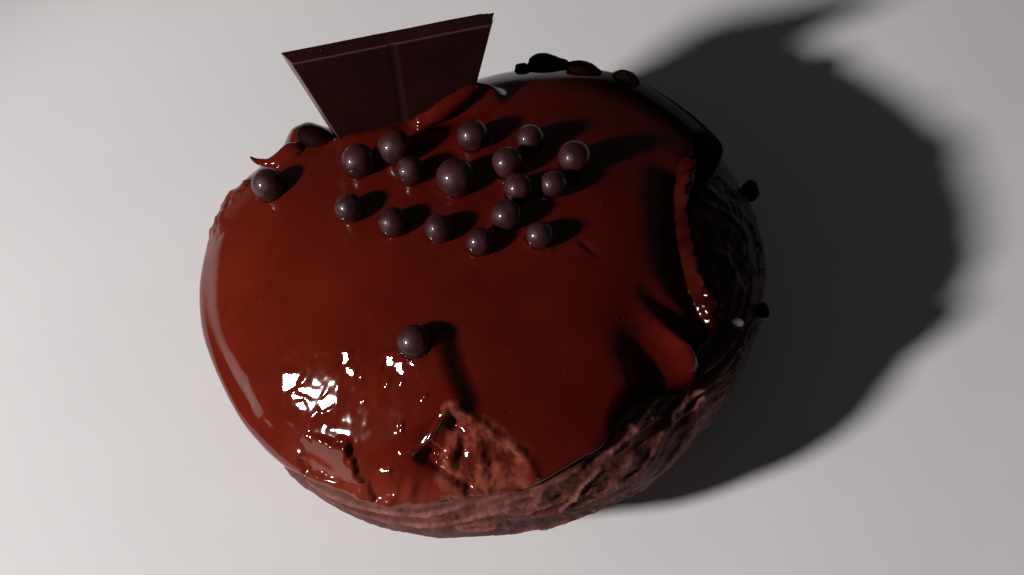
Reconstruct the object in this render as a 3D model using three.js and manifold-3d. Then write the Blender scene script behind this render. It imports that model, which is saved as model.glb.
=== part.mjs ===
// A filled doughnut without a hole, glazed all over its top in dark chocolate, with a tapered two-square
// chocolate piece standing in the glaze and a cluster of crunchy chocolate pearls on the crown.
// Millimetres, +Z up. The origin is the middle of the underside, and the doughnut rests on its flat base.

import * as THREE from 'three';
import { mergeVertices } from 'three/addons/utils/BufferGeometryUtils.js';
import Module from 'manifold-3d';

const wasm = await Module();
wasm.setup();

// ---------------------------------------------------------------- driving dimensions

// The body is a squashed round. Its plan radius is a mean radius with a few slow lobes, and its height
// follows a power curve above the widest level and a fuller one below it, cut flat at the table.
const BODY = {
  meanRadius: 41.3,
  height: 35.8,
  widestLevel: 17.1,
  planPower: 2.016,
  domePower: 2.105,
  underPower: 2.2,
  underDepth: 1.15,
  tilt: { x: 0.013, y: -0.027, power: 0.8 },
  pole: { x: 1.0, y: -0.3 },
};
// Shift of everything in plan that puts the middle of the box over the origin.
const CENTRING = { x: 0.35, y: -0.3 };
// Lobes of the plan outline: waves round the body, their size and the azimuth of one crest.
const LOBES = [
  { waves: 2, size: 3.631, crest: 19.2 },
  { waves: 3, size: 1.504, crest: 49.2 },
  { waves: 4, size: 0.873, crest: -21.6 },
  { waves: 5, size: 0.306, crest: 12.3 },
];

const GLAZE = { thickness: 2.4, thinEdge: 0.9, tornEdge: 2.5, edgeBlend: 14, edgeSag: 0.35 };
const FIT_GAP = 0.32;

// Lower edge of the glaze as [azimuth, polar angle] in degrees round the body's pole. It hangs below the
// widest level at the back and left, leaves a band of dough at the front left, and is torn away at the right.
const GLAZE_EDGE = [
  [4, 44], [12, 45], [19, 49], [27, 63], [36, 84], [46, 99], [62, 107], [90, 112], [120, 108], [150, 112],
  [180, 108], [205, 106], [214, 101], [221, 90], [228, 80], [235, 77], [242, 75], [250, 74.5], [255, 71.5],
  [261, 67], [266, 63.5], [272, 62.5], [279, 64.5], [285, 63], [292, 61], [298, 59.5], [302, 55.5], [307, 52.5],
  [313, 52], [318, 56.5], [324, 63], [329, 62], [334, 57], [340, 57], [348, 55], [355, 47],
];
// Azimuths between which the edge is torn and thick, and the dough beside it stays sunk.
const TORN = { from: -48, to: 33, fade: 9, recoverNear: 9, recoverTorn: 30 };

// Relief of the glaze: ridges (height above zero) and grooves (below) along short routes. A route is a list of
// points in plan, each with the height there.
const RIDGES = [
  {
    name: 'fold at the right front',
    halfWidth: 2.1,
    route: [
      [22.5, -9.5, 0.2], [26.0, -12.2, 0.7], [28.5, -14.3, 1.5], [29.9, -16.3, 2.0], [30.5, -18.5, 2.0], [30.0, -20.6, 1.4],
    ],
  },
  {
    name: 'hollow beside the fold',
    halfWidth: 3.3,
    route: [[21.4, -12.3, -0.8], [23.2, -16.8, -1.9], [25.0, -21.2, -2.3]],
  },
  {
    name: 'hollow behind the torn lip',
    halfWidth: 1.7,
    route: [[26.3, 13.2, -1.0], [26.6, 10.0, -1.5], [26.9, 7.0, -0.7]],
  },
  {
    name: 'torn lip',
    halfWidth: 1.5,
    route: [
      [30.9, 14.8, 1.8], [30.0, 9.5, 1.4], [29.7, 5.0, 1.9], [30.0, 1.0, 2.1], [30.7, -3.0, 1.9], [31.8, -6.2, 1.6],
      [33.6, -7.8, 1.0], [35.2, -10.5, 0.5],
    ],
  },
  {
    name: 'rim lip at the left back',
    halfWidth: 1.9,
    route: [
      [-42.0, 8.5, 0.8], [-39.5, 12.0, 1.4], [-37.2, 14.2, 1.0], [-36.8, 18.0, 1.0], [-33.6, 20.6, 1.3], [-30.5, 22.6, 1.0],
    ],
  },
  { name: 'hump at the foot of the piece', halfWidth: 2.5, route: [[-29.6, 23.4, 2.6], [-28.2, 24.2, 2.6]] },
  {
    name: 'glaze pushed up by the piece',
    halfWidth: 2.0,
    route: [[-10.0, 22.8, 0.5], [-6.2, 24.3, 1.9], [-1.7, 25.8, 3.9], [0.8, 26.4, 2.4]],
  },
  { name: 'low lip at its left foot', halfWidth: 1.4, route: [[-23.2, 19.4, 0.5], [-20.5, 19.9, 0.8], [-15.0, 21.0, 0.5]] },
  { name: 'swell at the front left', halfWidth: 2.6, route: [[-17.6, -16.8, 0.8], [-16.6, -17.4, 0.8]] },
  { name: 'pit in the broken patch', halfWidth: 1.6, route: [[-7.9, -31.6, -1.5], [-7.3, -31.7, -1.5]] },
  { name: 'broken patch', halfWidth: 3.0, route: [[-3.5, -31.0, -0.4], [4.5, -31.5, -0.4]] },
];
// Falls of the glaze to the right of a route that runs front to back: height of the left side, half width of the
// fall, how far the height reaches to the left, and the shares of the route over which its ends fade.
const FALLS = [
  {
    name: 'fall in front of the pearl',
    height: 1.7,
    halfWidth: 1.7,
    reach: 9,
    fadeIn: 0.25,
    fadeOut: 0.15,
    route: [[-1.4, -27.0, 0], [-3.4, -22.6, 0], [-4.6, -19.5, 0], [-5.6, -15.0, 0]],
  },
];
// Slow unevenness of the whole surface: waves per millimetre along x and y, phase and size.
const SWELLS = [
  { x: 0.16, y: 0.05, phase: 0.4, size: 0.16 },
  { x: -0.07, y: 0.19, phase: 2.1, size: 0.15 },
  { x: 0.24, y: -0.21, phase: 4.0, size: 0.1 },
];
// Polar angles between which the relief of the glaze dies out below the rim.
const RELIEF_END = { from: 84, to: 100 };
// Creases of the bare dough at the right front, running round the body, which start a few degrees below the glaze.
const CREASES = { from: -80, to: 10, fade: 14, size: 0.55, perRadian: 17, slant: 3.0, lapsRound: 4, start: 10 };
// The side of the dough is even again from this polar angle down to a few degrees above the base.
const EVEN_SIDE = { from: 120, aboveBase: 6 };

// Scraps of set glaze on the back rim and a drawn-out peak at the left: azimuth, polar angle and half sizes.
const SCRAPS = [
  { azimuth: 76, polar: 71, half: [3.9, 2.2, 1.9], turn: -8 },
  { azimuth: 68, polar: 64, half: [3.2, 1.7, 1.4], turn: -20 },
  { azimuth: 58, polar: 66, half: [2.3, 1.5, 1.4], turn: -32 },
  { azimuth: 82.5, polar: 67, half: [1.6, 1.2, 1.1], turn: 0 },
  { azimuth: 31, polar: 74, half: [1.7, 2.2, 2.0], turn: 0 },
];
const SCRAP_RISE = 0.1;
const PEAK = { azimuth: 152, polar: 70, length: 4.4, sunk: 1.2, footRadius: 1.5, tipRadius: 0.35, rise: 40 };

// The standing chocolate piece: two plain squares with a groove between, narrower at its foot.
const PIECE = {
  topMiddle: [-14.09, 28.59, 44.9],
  turn: 13.0,
  lean: 10.5,
  width: 32.1,
  taper: 0.258,
  length: 22,
  thickness: 2.8,
  faceInset: 1.3,
  topInset: 0.35,
  groove: { width: 1.9, floorWidth: 0.4, depth: 0.4, clear: 1 },
};
// How far the slot for the piece runs on over its top edge.
const SLOT_CLEAR = 1;

// Crunchy pearls: azimuth and polar angle of the middle round the body's pole, and the radius.
const PEARLS = [
  [161.5, 51.7, 2.73], [146.5, 34.7, 2.67], [133.5, 33.4, 2.71], [138.5, 23.9, 2.23], [121.0, 16.4, 2.94],
  [99.5, 28.2, 2.48], [71.0, 23.9, 2.17], [79.0, 16.7, 2.37], [61.0, 10.4, 2.27], [41.5, 15.2, 2.05],
  [46.5, 22.9, 2.53], [167.0, 27.9, 2.2], [173.0, 18.2, 2.25], [177.5, 9.4, 2.16], [47.0, 3.9, 2.39],
  [229.5, 3.4, 2.15], [353.0, 9.2, 2.09], [237.5, 28.2, 2.52],
];
// Height of a pearl's middle over the glaze as a share of its radius, and how much the pearls are squashed.
const PEARL_RISE = 0.62;
const PEARL_UNEVEN = 0.025;

// Facets of the solids.
const FACETS = {
  columns: 80,
  glazeRows: 21,
  innerRows: 8,
  sideRows: 12,
  pearlRound: 12,
  pearlDown: 7,
  dimpleRound: 10,
  dimpleDown: 7,
  scrapRound: 10,
  scrapDown: 6,
  peakRound: 8,
};

// ---------------------------------------------------------------- small helpers

const rad = THREE.MathUtils.degToRad;
const smooth = (x, low, high) => THREE.MathUtils.smoothstep(x, low, high);

// Smooth closed curve through [angle, value] knots: a cubic between neighbours with averaged slopes.
function roundCurve(knots, angle) {
  const count = knots.length;
  const turned = ((angle % 360) + 360) % 360;
  const at = (k) => {
    const lap = Math.floor(k / count);
    const knot = knots[k - lap * count];
    return [knot[0] + 360 * lap, knot[1]];
  };
  let k = count - 1;
  while (k >= 0 && at(k)[0] > turned) {
    k -= 1;
  }
  const [before, start, end, after] = [at(k - 1), at(k), at(k + 1), at(k + 2)];
  const span = end[0] - start[0];
  const t = (turned - start[0]) / span;
  const startSlope = ((end[1] - before[1]) / (end[0] - before[0])) * span;
  const endSlope = ((after[1] - start[1]) / (after[0] - start[0])) * span;
  const rise = end[1] - start[1];
  return start[1] + startSlope * t + (3 * rise - 2 * startSlope - endSlope) * t ** 2
    + (startSlope + endSlope - 2 * rise) * t ** 3;
}

// One inside the arc from..to of azimuths, zero outside, fading over a few degrees at both ends.
function arcMask(azimuth, arc) {
  const middle = (arc.from + arc.to) / 2;
  const half = (arc.to - arc.from) / 2;
  const away = Math.abs(((azimuth - middle + 540) % 360) - 180);
  return 1 - smooth(away, half - arc.fade, half + arc.fade);
}

// Nearest place to a point in plan on a route of straight stretches: the distance, negative where the point lies
// left of the route, the route's height there, and the share of its length travelled.
function nearRoute(x, y, route) {
  const lengths = route.slice(1).map(([bx, by], i) => Math.hypot(bx - route[i][0], by - route[i][1]));
  const total = lengths.reduce((sum, length) => sum + length, 0);
  let nearest = { distance: Infinity, signed: 0, height: 0, travel: 0 };
  let passed = 0;
  lengths.forEach((length, i) => {
    const [ax, ay, low] = route[i];
    const [bx, by, high] = route[i + 1];
    const [dx, dy] = [bx - ax, by - ay];
    const t = THREE.MathUtils.clamp(((x - ax) * dx + (y - ay) * dy) / length ** 2, 0, 1);
    const [awayX, awayY] = [x - ax - t * dx, y - ay - t * dy];
    const distance = Math.hypot(awayX, awayY);
    if (distance < nearest.distance) {
      const signed = distance * Math.sign(awayX * dy - awayY * dx);
      nearest = { distance, signed, height: THREE.MathUtils.lerp(low, high, t), travel: (passed + t * length) / total };
    }
    passed += length;
  });
  return nearest;
}

function toManifold(geometry) {
  const bare = geometry.clone();
  bare.deleteAttribute('normal');
  bare.deleteAttribute('uv');
  const merged = mergeVertices(bare, 1e-4);
  return new wasm.Manifold(new wasm.Mesh({
    numProp: 3,
    vertProperties: new Float32Array(merged.attributes.position.array),
    triVerts: new Uint32Array(merged.index.array),
  }));
}

function toGeometry(solid) {
  const mesh = solid.getMesh();
  const geometry = new THREE.BufferGeometry();
  geometry.setAttribute('position', new THREE.BufferAttribute(mesh.vertProperties, 3));
  geometry.setIndex(new THREE.BufferAttribute(mesh.triVerts, 1));
  geometry.computeVertexNormals();
  return geometry;
}

// ---------------------------------------------------------------- the body's surface

function planRadius(azimuth) {
  let radius = BODY.meanRadius;
  for (const lobe of LOBES) {
    radius += lobe.size * Math.cos(lobe.waves * rad(azimuth - lobe.crest));
  }
  return radius;
}

// Point of the smooth body at an azimuth and a polar angle from the crown, in degrees.
function bodyPoint(azimuth, polar) {
  const sine = Math.sin(rad(polar));
  const cosine = Math.cos(rad(polar));
  const reach = planRadius(azimuth) * sine ** (2 / BODY.planPower);
  const x = reach * Math.cos(rad(azimuth));
  const y = reach * Math.sin(rad(azimuth));
  let z;
  if (cosine > 0) {
    z = BODY.widestLevel + (BODY.height - BODY.widestLevel) * cosine ** (2 / BODY.domePower);
    z += (BODY.tilt.x * x + BODY.tilt.y * y) * cosine ** BODY.tilt.power;
  } else {
    z = BODY.widestLevel * (1 - BODY.underDepth * (-cosine) ** (2 / BODY.underPower));
  }
  return new THREE.Vector3(x + BODY.pole.x, y + BODY.pole.y, Math.max(z, 0));
}

const NORMAL_STEP = 0.05;

function bodyNormal(azimuth, polar) {
  const tilted = Math.max(polar, 1.0);
  const down = bodyPoint(azimuth, tilted + NORMAL_STEP).sub(bodyPoint(azimuth, tilted - NORMAL_STEP));
  const round = bodyPoint(azimuth + NORMAL_STEP, tilted).sub(bodyPoint(azimuth - NORMAL_STEP, tilted));
  return down.cross(round).normalize();
}

function raised(azimuth, polar, height) {
  return bodyPoint(azimuth, polar).addScaledVector(bodyNormal(azimuth, polar), height);
}

// Height of the glaze's relief over the smooth body.
function relief(azimuth, polar) {
  const { x, y } = bodyPoint(azimuth, polar);
  let height = 0;
  for (const ridge of RIDGES) {
    const near = nearRoute(x, y, ridge.route);
    height += near.height * Math.exp(-((near.distance / ridge.halfWidth) ** 2));
  }
  for (const fall of FALLS) {
    const near = nearRoute(x, y, fall.route);
    const ends = smooth(near.travel, 0, fall.fadeIn) * (1 - smooth(near.travel, 1 - fall.fadeOut, 1));
    const left = Math.exp(-((Math.min(near.signed, 0) / fall.reach) ** 2));
    height += fall.height * ends * left * (1 - smooth(near.signed, -fall.halfWidth, fall.halfWidth));
  }
  for (const swell of SWELLS) {
    height += swell.size * Math.sin(swell.x * x + swell.y * y + swell.phase);
  }
  return height * (1 - smooth(polar, RELIEF_END.from, RELIEF_END.to));
}

function glazeEdge(azimuth) {
  return roundCurve(GLAZE_EDGE, azimuth);
}

function edgeThickness(azimuth) {
  return THREE.MathUtils.lerp(GLAZE.thinEdge, GLAZE.tornEdge, arcMask(azimuth, TORN));
}

// Thickness of the glaze, thinner towards its edge where it isn't torn.
function glazeThickness(azimuth, polar) {
  const closeness = smooth(polar, glazeEdge(azimuth) - GLAZE.edgeBlend, glazeEdge(azimuth));
  return THREE.MathUtils.lerp(GLAZE.thickness, edgeThickness(azimuth), closeness);
}

// Depth of the dough's skin below the smooth body: under the glaze, or recovering beyond its edge.
function doughDepth(azimuth, polar) {
  const edge = glazeEdge(azimuth);
  if (polar <= edge) {
    return glazeThickness(azimuth, polar) + FIT_GAP;
  }
  const recover = THREE.MathUtils.lerp(TORN.recoverNear, TORN.recoverTorn, arcMask(azimuth, TORN));
  const sunk = (edgeThickness(azimuth) + FIT_GAP) * Math.exp(-(polar - edge) / recover);
  const phase = CREASES.perRadian * rad(polar) + CREASES.slant * Math.sin(rad(CREASES.lapsRound * azimuth));
  const away = smooth(polar, edge, edge + CREASES.start) * arcMask(azimuth, CREASES);
  const level = 1 - smooth(polar, EVEN_SIDE.from, BASE_POLAR - EVEN_SIDE.aboveBase);
  return (sunk + (away * CREASES.size * (1 + Math.sin(phase))) / 2) * level;
}

// Polar angle at which the underside meets the table.
const BASE_POLAR = 180 - THREE.MathUtils.radToDeg(Math.acos((1 / BODY.underDepth) ** (BODY.underPower / 2)));

// ---------------------------------------------------------------- solids

// Closed solid from one profile at each azimuth. A profile starts and ends at a point that all share. Each
// four-sided facet is split along its shorter diagonal.
function turnedSolid(profileAt) {
  const profiles = [];
  for (let column = 0; column < FACETS.columns; column += 1) {
    profiles.push(profileAt((360 * column) / FACETS.columns));
  }
  const rings = profiles[0].length - 2;
  const points = [profiles[0][0]];
  for (let ring = 1; ring <= rings; ring += 1) {
    points.push(...profiles.map((profile) => profile[ring]));
  }
  points.push(profiles[0][rings + 1]);
  const last = 1 + rings * FACETS.columns;
  const vertex = (ring, column) => 1 + (ring - 1) * FACETS.columns + (column % FACETS.columns);
  const index = [];
  for (let column = 0; column < FACETS.columns; column += 1) {
    index.push(0, vertex(1, column), vertex(1, column + 1));
    for (let ring = 1; ring < rings; ring += 1) {
      const [a, b] = [vertex(ring, column), vertex(ring + 1, column)];
      const [c, d] = [vertex(ring + 1, column + 1), vertex(ring, column + 1)];
      if (points[a].distanceTo(points[c]) <= points[b].distanceTo(points[d])) {
        index.push(a, b, c, a, c, d);
      } else {
        index.push(a, b, d, b, c, d);
      }
    }
    index.push(last, vertex(rings, column + 1), vertex(rings, column));
  }
  const geometry = new THREE.BufferGeometry();
  geometry.setAttribute('position', new THREE.Float32BufferAttribute(points.flatMap((point) => point.toArray()), 3));
  geometry.setIndex(index);
  return geometry;
}

// Rows from the crown to the glaze's edge, as polar angles.
function rowsToEdge(azimuth, rows) {
  return Array.from({ length: rows }, (_, i) => (glazeEdge(azimuth) * (i + 1)) / rows);
}

function doughProfile(azimuth) {
  const crown = raised(0, 0, -GLAZE.thickness - FIT_GAP);
  const profile = [crown];
  for (const polar of rowsToEdge(azimuth, FACETS.innerRows)) {
    profile.push(raised(azimuth, polar, -doughDepth(azimuth, polar)));
  }
  const edge = glazeEdge(azimuth);
  for (let row = 1; row <= FACETS.sideRows; row += 1) {
    const polar = THREE.MathUtils.lerp(edge, BASE_POLAR, row / FACETS.sideRows);
    profile.push(raised(azimuth, polar, -doughDepth(azimuth, polar)));
  }
  const rim = profile[profile.length - 1];
  rim.z = 0;
  profile.push(new THREE.Vector3(BODY.pole.x, BODY.pole.y, 0));
  return profile;
}

function glazeProfile(azimuth) {
  const profile = [raised(0, 0, relief(0, 0))];
  for (const polar of rowsToEdge(azimuth, FACETS.glazeRows)) {
    const sag = polar >= glazeEdge(azimuth) ? GLAZE.edgeSag : 0;
    profile.push(raised(azimuth, polar, relief(azimuth, polar) - sag));
  }
  for (const polar of rowsToEdge(azimuth, FACETS.innerRows).reverse()) {
    profile.push(raised(azimuth, polar, -glazeThickness(azimuth, polar)));
  }
  profile.push(raised(0, 0, -GLAZE.thickness));
  return profile;
}

// Body with six flat sides from its four lower and four upper corners, each listed counter-clockwise from above.
function sixSided(lower, upper) {
  const geometry = new THREE.BufferGeometry();
  const points = [...lower, ...upper].flat();
  geometry.setAttribute('position', new THREE.Float32BufferAttribute(points, 3));
  const index = [0, 2, 1, 0, 3, 2, 4, 5, 6, 4, 6, 7];
  for (let i = 0; i < 4; i += 1) {
    const next = (i + 1) % 4;
    index.push(i, next, next + 4, i, next + 4, i + 4);
  }
  geometry.setIndex(index);
  return geometry;
}

// The piece in its own frame: x along its top edge, y towards its back, z up, top back edge at the origin.
// grow is added all round, and above is how far the outline runs on over the top.
function pieceBlock(grow, above) {
  const layer = (z, inset) => {
    const half = PIECE.width / 2 + PIECE.taper * z + grow;
    const face = half - PIECE.faceInset;
    const front = -PIECE.thickness - grow;
    return [[-face, front + inset, z], [face, front + inset, z], [half, grow, z], [-half, grow, z]];
  };
  return sixSided(layer(-PIECE.length - grow, 0), layer(above, above > 0 ? 0 : PIECE.topInset));
}

function grooveCut() {
  const { width, floorWidth, depth, clear } = PIECE.groove;
  const front = -PIECE.thickness;
  const layer = (z) => [
    [-width / 2 - clear / 2, front - clear, z],
    [width / 2 + clear / 2, front - clear, z],
    [floorWidth / 2, front + depth, z],
    [-floorWidth / 2, front + depth, z],
  ];
  return sixSided(layer(-PIECE.length - clear), layer(clear));
}

const piecePlace = new THREE.Matrix4().compose(
  new THREE.Vector3(...PIECE.topMiddle),
  new THREE.Quaternion().setFromEuler(new THREE.Euler(-rad(PIECE.lean), 0, rad(PIECE.turn), 'ZYX')),
  new THREE.Vector3(1, 1, 1),
);

function pearlMiddle([azimuth, polar, radius]) {
  return raised(azimuth, polar, PEARL_RISE * radius);
}

// Squashed round scrap lying on the surface, longer along the rim.
function scrapSolid(scrap) {
  const geometry = new THREE.SphereGeometry(1, FACETS.scrapRound, FACETS.scrapDown);
  geometry.scale(...scrap.half);
  geometry.rotateZ(rad(scrap.turn));
  const middle = raised(scrap.azimuth, scrap.polar, scrap.half[2] * SCRAP_RISE);
  geometry.translate(middle.x, middle.y, middle.z);
  return toManifold(geometry);
}

// Drawn-out peak: a slim cone whose foot is sunk in the glaze.
function peakSolid() {
  const geometry = new THREE.CylinderGeometry(
    PEAK.tipRadius,
    PEAK.footRadius,
    PEAK.length + PEAK.sunk,
    FACETS.peakRound,
  );
  geometry.translate(0, (PEAK.length - PEAK.sunk) / 2, 0);
  const outward = new THREE.Vector3(Math.cos(rad(PEAK.azimuth)), Math.sin(rad(PEAK.azimuth)), 0);
  const axis = outward.multiplyScalar(Math.cos(rad(PEAK.rise))).setZ(Math.sin(rad(PEAK.rise)));
  geometry.applyQuaternion(new THREE.Quaternion().setFromUnitVectors(new THREE.Vector3(0, 1, 0), axis));
  const foot = bodyPoint(PEAK.azimuth, PEAK.polar);
  geometry.translate(foot.x, foot.y, foot.z);
  return toManifold(geometry);
}

function makeDough() {
  const slot = toManifold(pieceBlock(FIT_GAP, SLOT_CLEAR).applyMatrix4(piecePlace));
  return toGeometry(toManifold(turnedSolid(doughProfile)).subtract(slot));
}

function makeGlaze() {
  let solid = toManifold(turnedSolid(glazeProfile));
  for (const scrap of SCRAPS) {
    solid = solid.add(scrapSolid(scrap));
  }
  solid = solid.add(peakSolid());
  solid = solid.subtract(toManifold(pieceBlock(FIT_GAP, SLOT_CLEAR).applyMatrix4(piecePlace)));
  for (const pearl of PEARLS) {
    const hollow = new THREE.SphereGeometry(pearl[2] + FIT_GAP, FACETS.dimpleRound, FACETS.dimpleDown);
    const middle = pearlMiddle(pearl);
    hollow.translate(middle.x, middle.y, middle.z);
    solid = solid.subtract(toManifold(hollow));
  }
  return toGeometry(solid);
}

function makePiece() {
  return toGeometry(toManifold(pieceBlock(0, 0)).subtract(toManifold(grooveCut())));
}

// ---------------------------------------------------------------- the scene graph

const doughColour = new THREE.MeshStandardMaterial({ color: 0x5a3226, roughness: 0.7, metalness: 0 });
const glazeColour = new THREE.MeshStandardMaterial({ color: 0x3e0b07, roughness: 0.16, metalness: 0 });
const pieceColour = new THREE.MeshStandardMaterial({ color: 0x1f0b09, roughness: 0.4, metalness: 0 });
const pearlColour = new THREE.MeshStandardMaterial({ color: 0x3a1d1e, roughness: 0.3, metalness: 0 });

const doughnut = new THREE.Group();
const centred = new THREE.Group();
centred.position.set(CENTRING.x, CENTRING.y, 0);
doughnut.add(centred);

function addMesh(name, geometry, material) {
  const mesh = new THREE.Mesh(geometry, material);
  mesh.name = name;
  centred.add(mesh);
  return mesh;
}

addMesh('dough', makeDough(), doughColour);
addMesh('glaze', makeGlaze(), glazeColour);
addMesh('chocolate_piece', makePiece(), pieceColour).applyMatrix4(piecePlace);

PEARLS.forEach((pearl, i) => {
  const geometry = new THREE.SphereGeometry(pearl[2], FACETS.pearlRound, FACETS.pearlDown);
  const mesh = addMesh(`pearl_${String(i + 1).padStart(2, '0')}`, geometry, pearlColour);
  mesh.position.copy(pearlMiddle(pearl));
  mesh.rotation.set(i, 2 * i, 0);
  mesh.scale.set(1 - PEARL_UNEVEN * (i % 3), 1 - PEARL_UNEVEN * ((i + 1) % 2), 1);
});

export default doughnut;
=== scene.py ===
"""Looks of a filled doughnut under dark chocolate glaze, with a standing chocolate piece and crunchy pearls.

Shapes are worked out in millimetres in the part's working frame, whose round coordinates are an azimuth about
the crown and a polar angle down from it, both in degrees. They go into the meshes in metres.
"""

import math

import bpy
import numpy as np
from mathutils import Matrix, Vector


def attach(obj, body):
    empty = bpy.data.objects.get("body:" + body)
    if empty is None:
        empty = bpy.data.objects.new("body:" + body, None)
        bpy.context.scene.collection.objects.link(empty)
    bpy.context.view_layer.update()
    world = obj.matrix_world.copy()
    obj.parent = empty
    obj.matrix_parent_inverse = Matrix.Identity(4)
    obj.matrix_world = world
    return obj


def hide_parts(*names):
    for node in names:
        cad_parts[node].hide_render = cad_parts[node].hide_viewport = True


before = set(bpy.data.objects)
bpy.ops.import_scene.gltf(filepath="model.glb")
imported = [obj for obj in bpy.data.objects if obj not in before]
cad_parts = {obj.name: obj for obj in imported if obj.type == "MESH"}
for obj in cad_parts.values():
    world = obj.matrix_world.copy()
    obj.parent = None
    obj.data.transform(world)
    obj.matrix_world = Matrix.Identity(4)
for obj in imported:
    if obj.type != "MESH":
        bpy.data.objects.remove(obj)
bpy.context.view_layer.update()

MM = 0.001

# ---------------------------------------------------------------- dimensions, as in the part

BODY = dict(
    mean_radius=41.3, height=35.8, widest_level=17.1,
    plan_power=2.016, dome_power=2.105, under_power=2.2, under_depth=1.15,
    tilt_x=0.013, tilt_y=-0.027, tilt_power=0.8,
    pole_x=1.0, pole_y=-0.3,
)
CENTRING = np.array([0.35, -0.3, 0.0])
LOBES = [(2, 3.631, 19.2), (3, 1.504, 49.2), (4, 0.873, -21.6), (5, 0.306, 12.3)]
GLAZE = dict(thickness=2.4, thin_edge=0.9, torn_edge=2.5, edge_blend=14.0)
FIT_GAP = 0.32
GLAZE_EDGE = np.array([
    (4, 44), (12, 45), (19, 49), (27, 63), (36, 84), (46, 99), (62, 107), (90, 112), (120, 108), (150, 112),
    (180, 108), (205, 106), (214, 101), (221, 90), (228, 80), (235, 77), (242, 75), (250, 74.5), (255, 71.5),
    (261, 68.2), (266, 67.8), (272, 67.6), (279, 66), (285, 63.3), (292, 61), (298, 59.5), (302, 55.5),
    (307, 52.5), (313, 52), (318, 56.5), (324, 63), (329, 62), (334, 57), (340, 57), (348, 55), (355, 47),
], float)
# Raggedness of that edge: everywhere, and more over the torn arc of azimuths; its size is measured at a radius.
RAGGED = dict(least=0.35, more=1.3, arc=(-66, 30, 10), size=5.0, radius=40)
# The front, where the edge is thinner by an amount and the dough comes up sooner beyond it.
FRONT_EDGE = dict(thinner=0.4, arc=(226, 298, 8))
FRONT_DOUGH = dict(sooner=6.5, arc=(226, 296, 8))
TORN = dict(start=-48, end=33, fade=9, recover_near=9.0, recover_torn=30.0)
BASE_POLAR = 180 - math.degrees(math.acos((1 / BODY["under_depth"]) ** (BODY["under_power"] / 2)))

# Ridges (and grooves, where negative) of the glaze: half width, and route as plan x, plan y and height.
RIDGES = {
    "fold at the right front": (1.25, [
        (24.8, -11.8, 0.1), (27.0, -13.7, 0.8), (28.6, -15.4, 2.2), (29.5, -16.7, 1.8), (30.2, -18.6, 0.4),
        (29.8, -21.0, 0.0),
    ]),
    "hollow beside the fold": (3.2, [
        (21.6, -12.6, -0.6), (22.7, -16.2, -2.2), (24.6, -19.6, -3.2), (27.4, -21.2, -1.9),
    ]),
    "groove behind the fold": (1.7, [(24.0, -8.2, -0.6), (27.6, -11.3, -1.7), (31.0, -14.6, -2.0)]),
    "torn lip": (0.7, [
        (31.2, 15.4, 0.8), (30.2, 11.0, 0.6), (29.8, 7.9, 0.7), (29.8, 2.7, 0.8), (30.7, -2.4, 1.0),
        (31.5, -5.9, 0.9), (33.5, -7.8, 0.5), (35.2, -10.5, 0.3),
    ]),
    "rim lip at the left back": (1.7, [(-42, 8.5, 0.4), (-39.5, 12.0, 1.0), (-37.2, 14.2, 0.8)]),
    "hump at the foot of the piece": (2.5, [(-29.6, 23.4, 2.6), (-28.2, 24.2, 2.6)]),
    "glaze pushed up by the piece": (1.5, [
        (-10, 22.8, 0.9), (-6.2, 24.3, 2.2), (-1.7, 25.8, 4.1), (0.8, 26.4, 2.6),
    ]),
    "low lip at its left foot": (1.2, [(-23.2, 19.4, 0.5), (-20.5, 19.9, 0.8), (-15.0, 21.0, 0.5)]),
    "swell above the highlights": (5.0, [(-21.4, -17.8, 0.42), (-19.1, -20.4, 0.42)]),
    "dark streak in the broken patch": (0.6, [(-3.1, -28.6, -0.3), (-2.8, -31.0, -0.4), (-3.2, -33.2, -0.2)]),
    "fold left of the streak": (0.9, [(-4.7, -29.6, 0.3), (-4.3, -31.6, 0.5), (-4.9, -32.9, 0.3)]),
    "fold right of the streak": (0.8, [(-1.2, -28.8, 0.3), (-0.35, -32.5, 0.35)]),
    "hollow right of that fold": (1.1, [(0.7, -30.6, -0.2), (1.2, -34.0, -0.3)]),
    "rim right of the broken patch": (0.75, [
        (-3.4, -26.2, 0.3), (0.8, -28.8, 0.7), (5.2, -31.2, 0.7), (7.0, -33.6, 0.4),
    ]),
    "pit in the broken glaze": (1.05, [(-7.9, -31.6, -2.0), (-7.3, -31.7, -2.0)]),
    "upper pit": (0.8, [(-4.6, -27.2, -1.0), (-4.1, -28.0, -0.9)]),
    "crack from the pit": (0.5, [
        (-9.3, -32.0, -0.6), (-6.6, -33.1, -1.0), (-4.4, -34.2, -1.0), (-2.1, -35.2, -0.6),
    ]),
    "lit lip of the break": (0.45, [
        (-11.6, -31.4, 0.35), (-9.0, -30.9, 0.5), (-7.6, -29.6, 0.6), (-5.3, -26.6, 0.5),
    ]),
    "lump below the crack": (1.3, [(-5.0, -35.6, 0.9), (-4.0, -35.9, 0.9)]),
    "crease above the fold": (0.5, [(13.6, -1.0, -0.1), (14.9, -2.2, -0.25), (16.4, -3.4, -0.1)]),
}
# The same for ridges near the rim, with routes as azimuth, polar angle and height.
RIM_RIDGES = {
    "groove over the rim bead": (1.9, [(197, 75, -0.1), (203, 75.5, -0.5), (211, 75.5, -0.6), (215, 74, -0.1)]),
    "rim bead": (2.3, [
        (150, 82, 0.0), (170, 82, 0.1), (180, 82, 0.6), (190, 82, 0.7), (200, 81.5, 0.75), (210, 81.5, 0.8),
        (217, 81, 0.8), (225, 79, 0.8), (235, 77, 0.7), (245, 75, 0.5), (255, 72, 0.3),
    ]),
}
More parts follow.
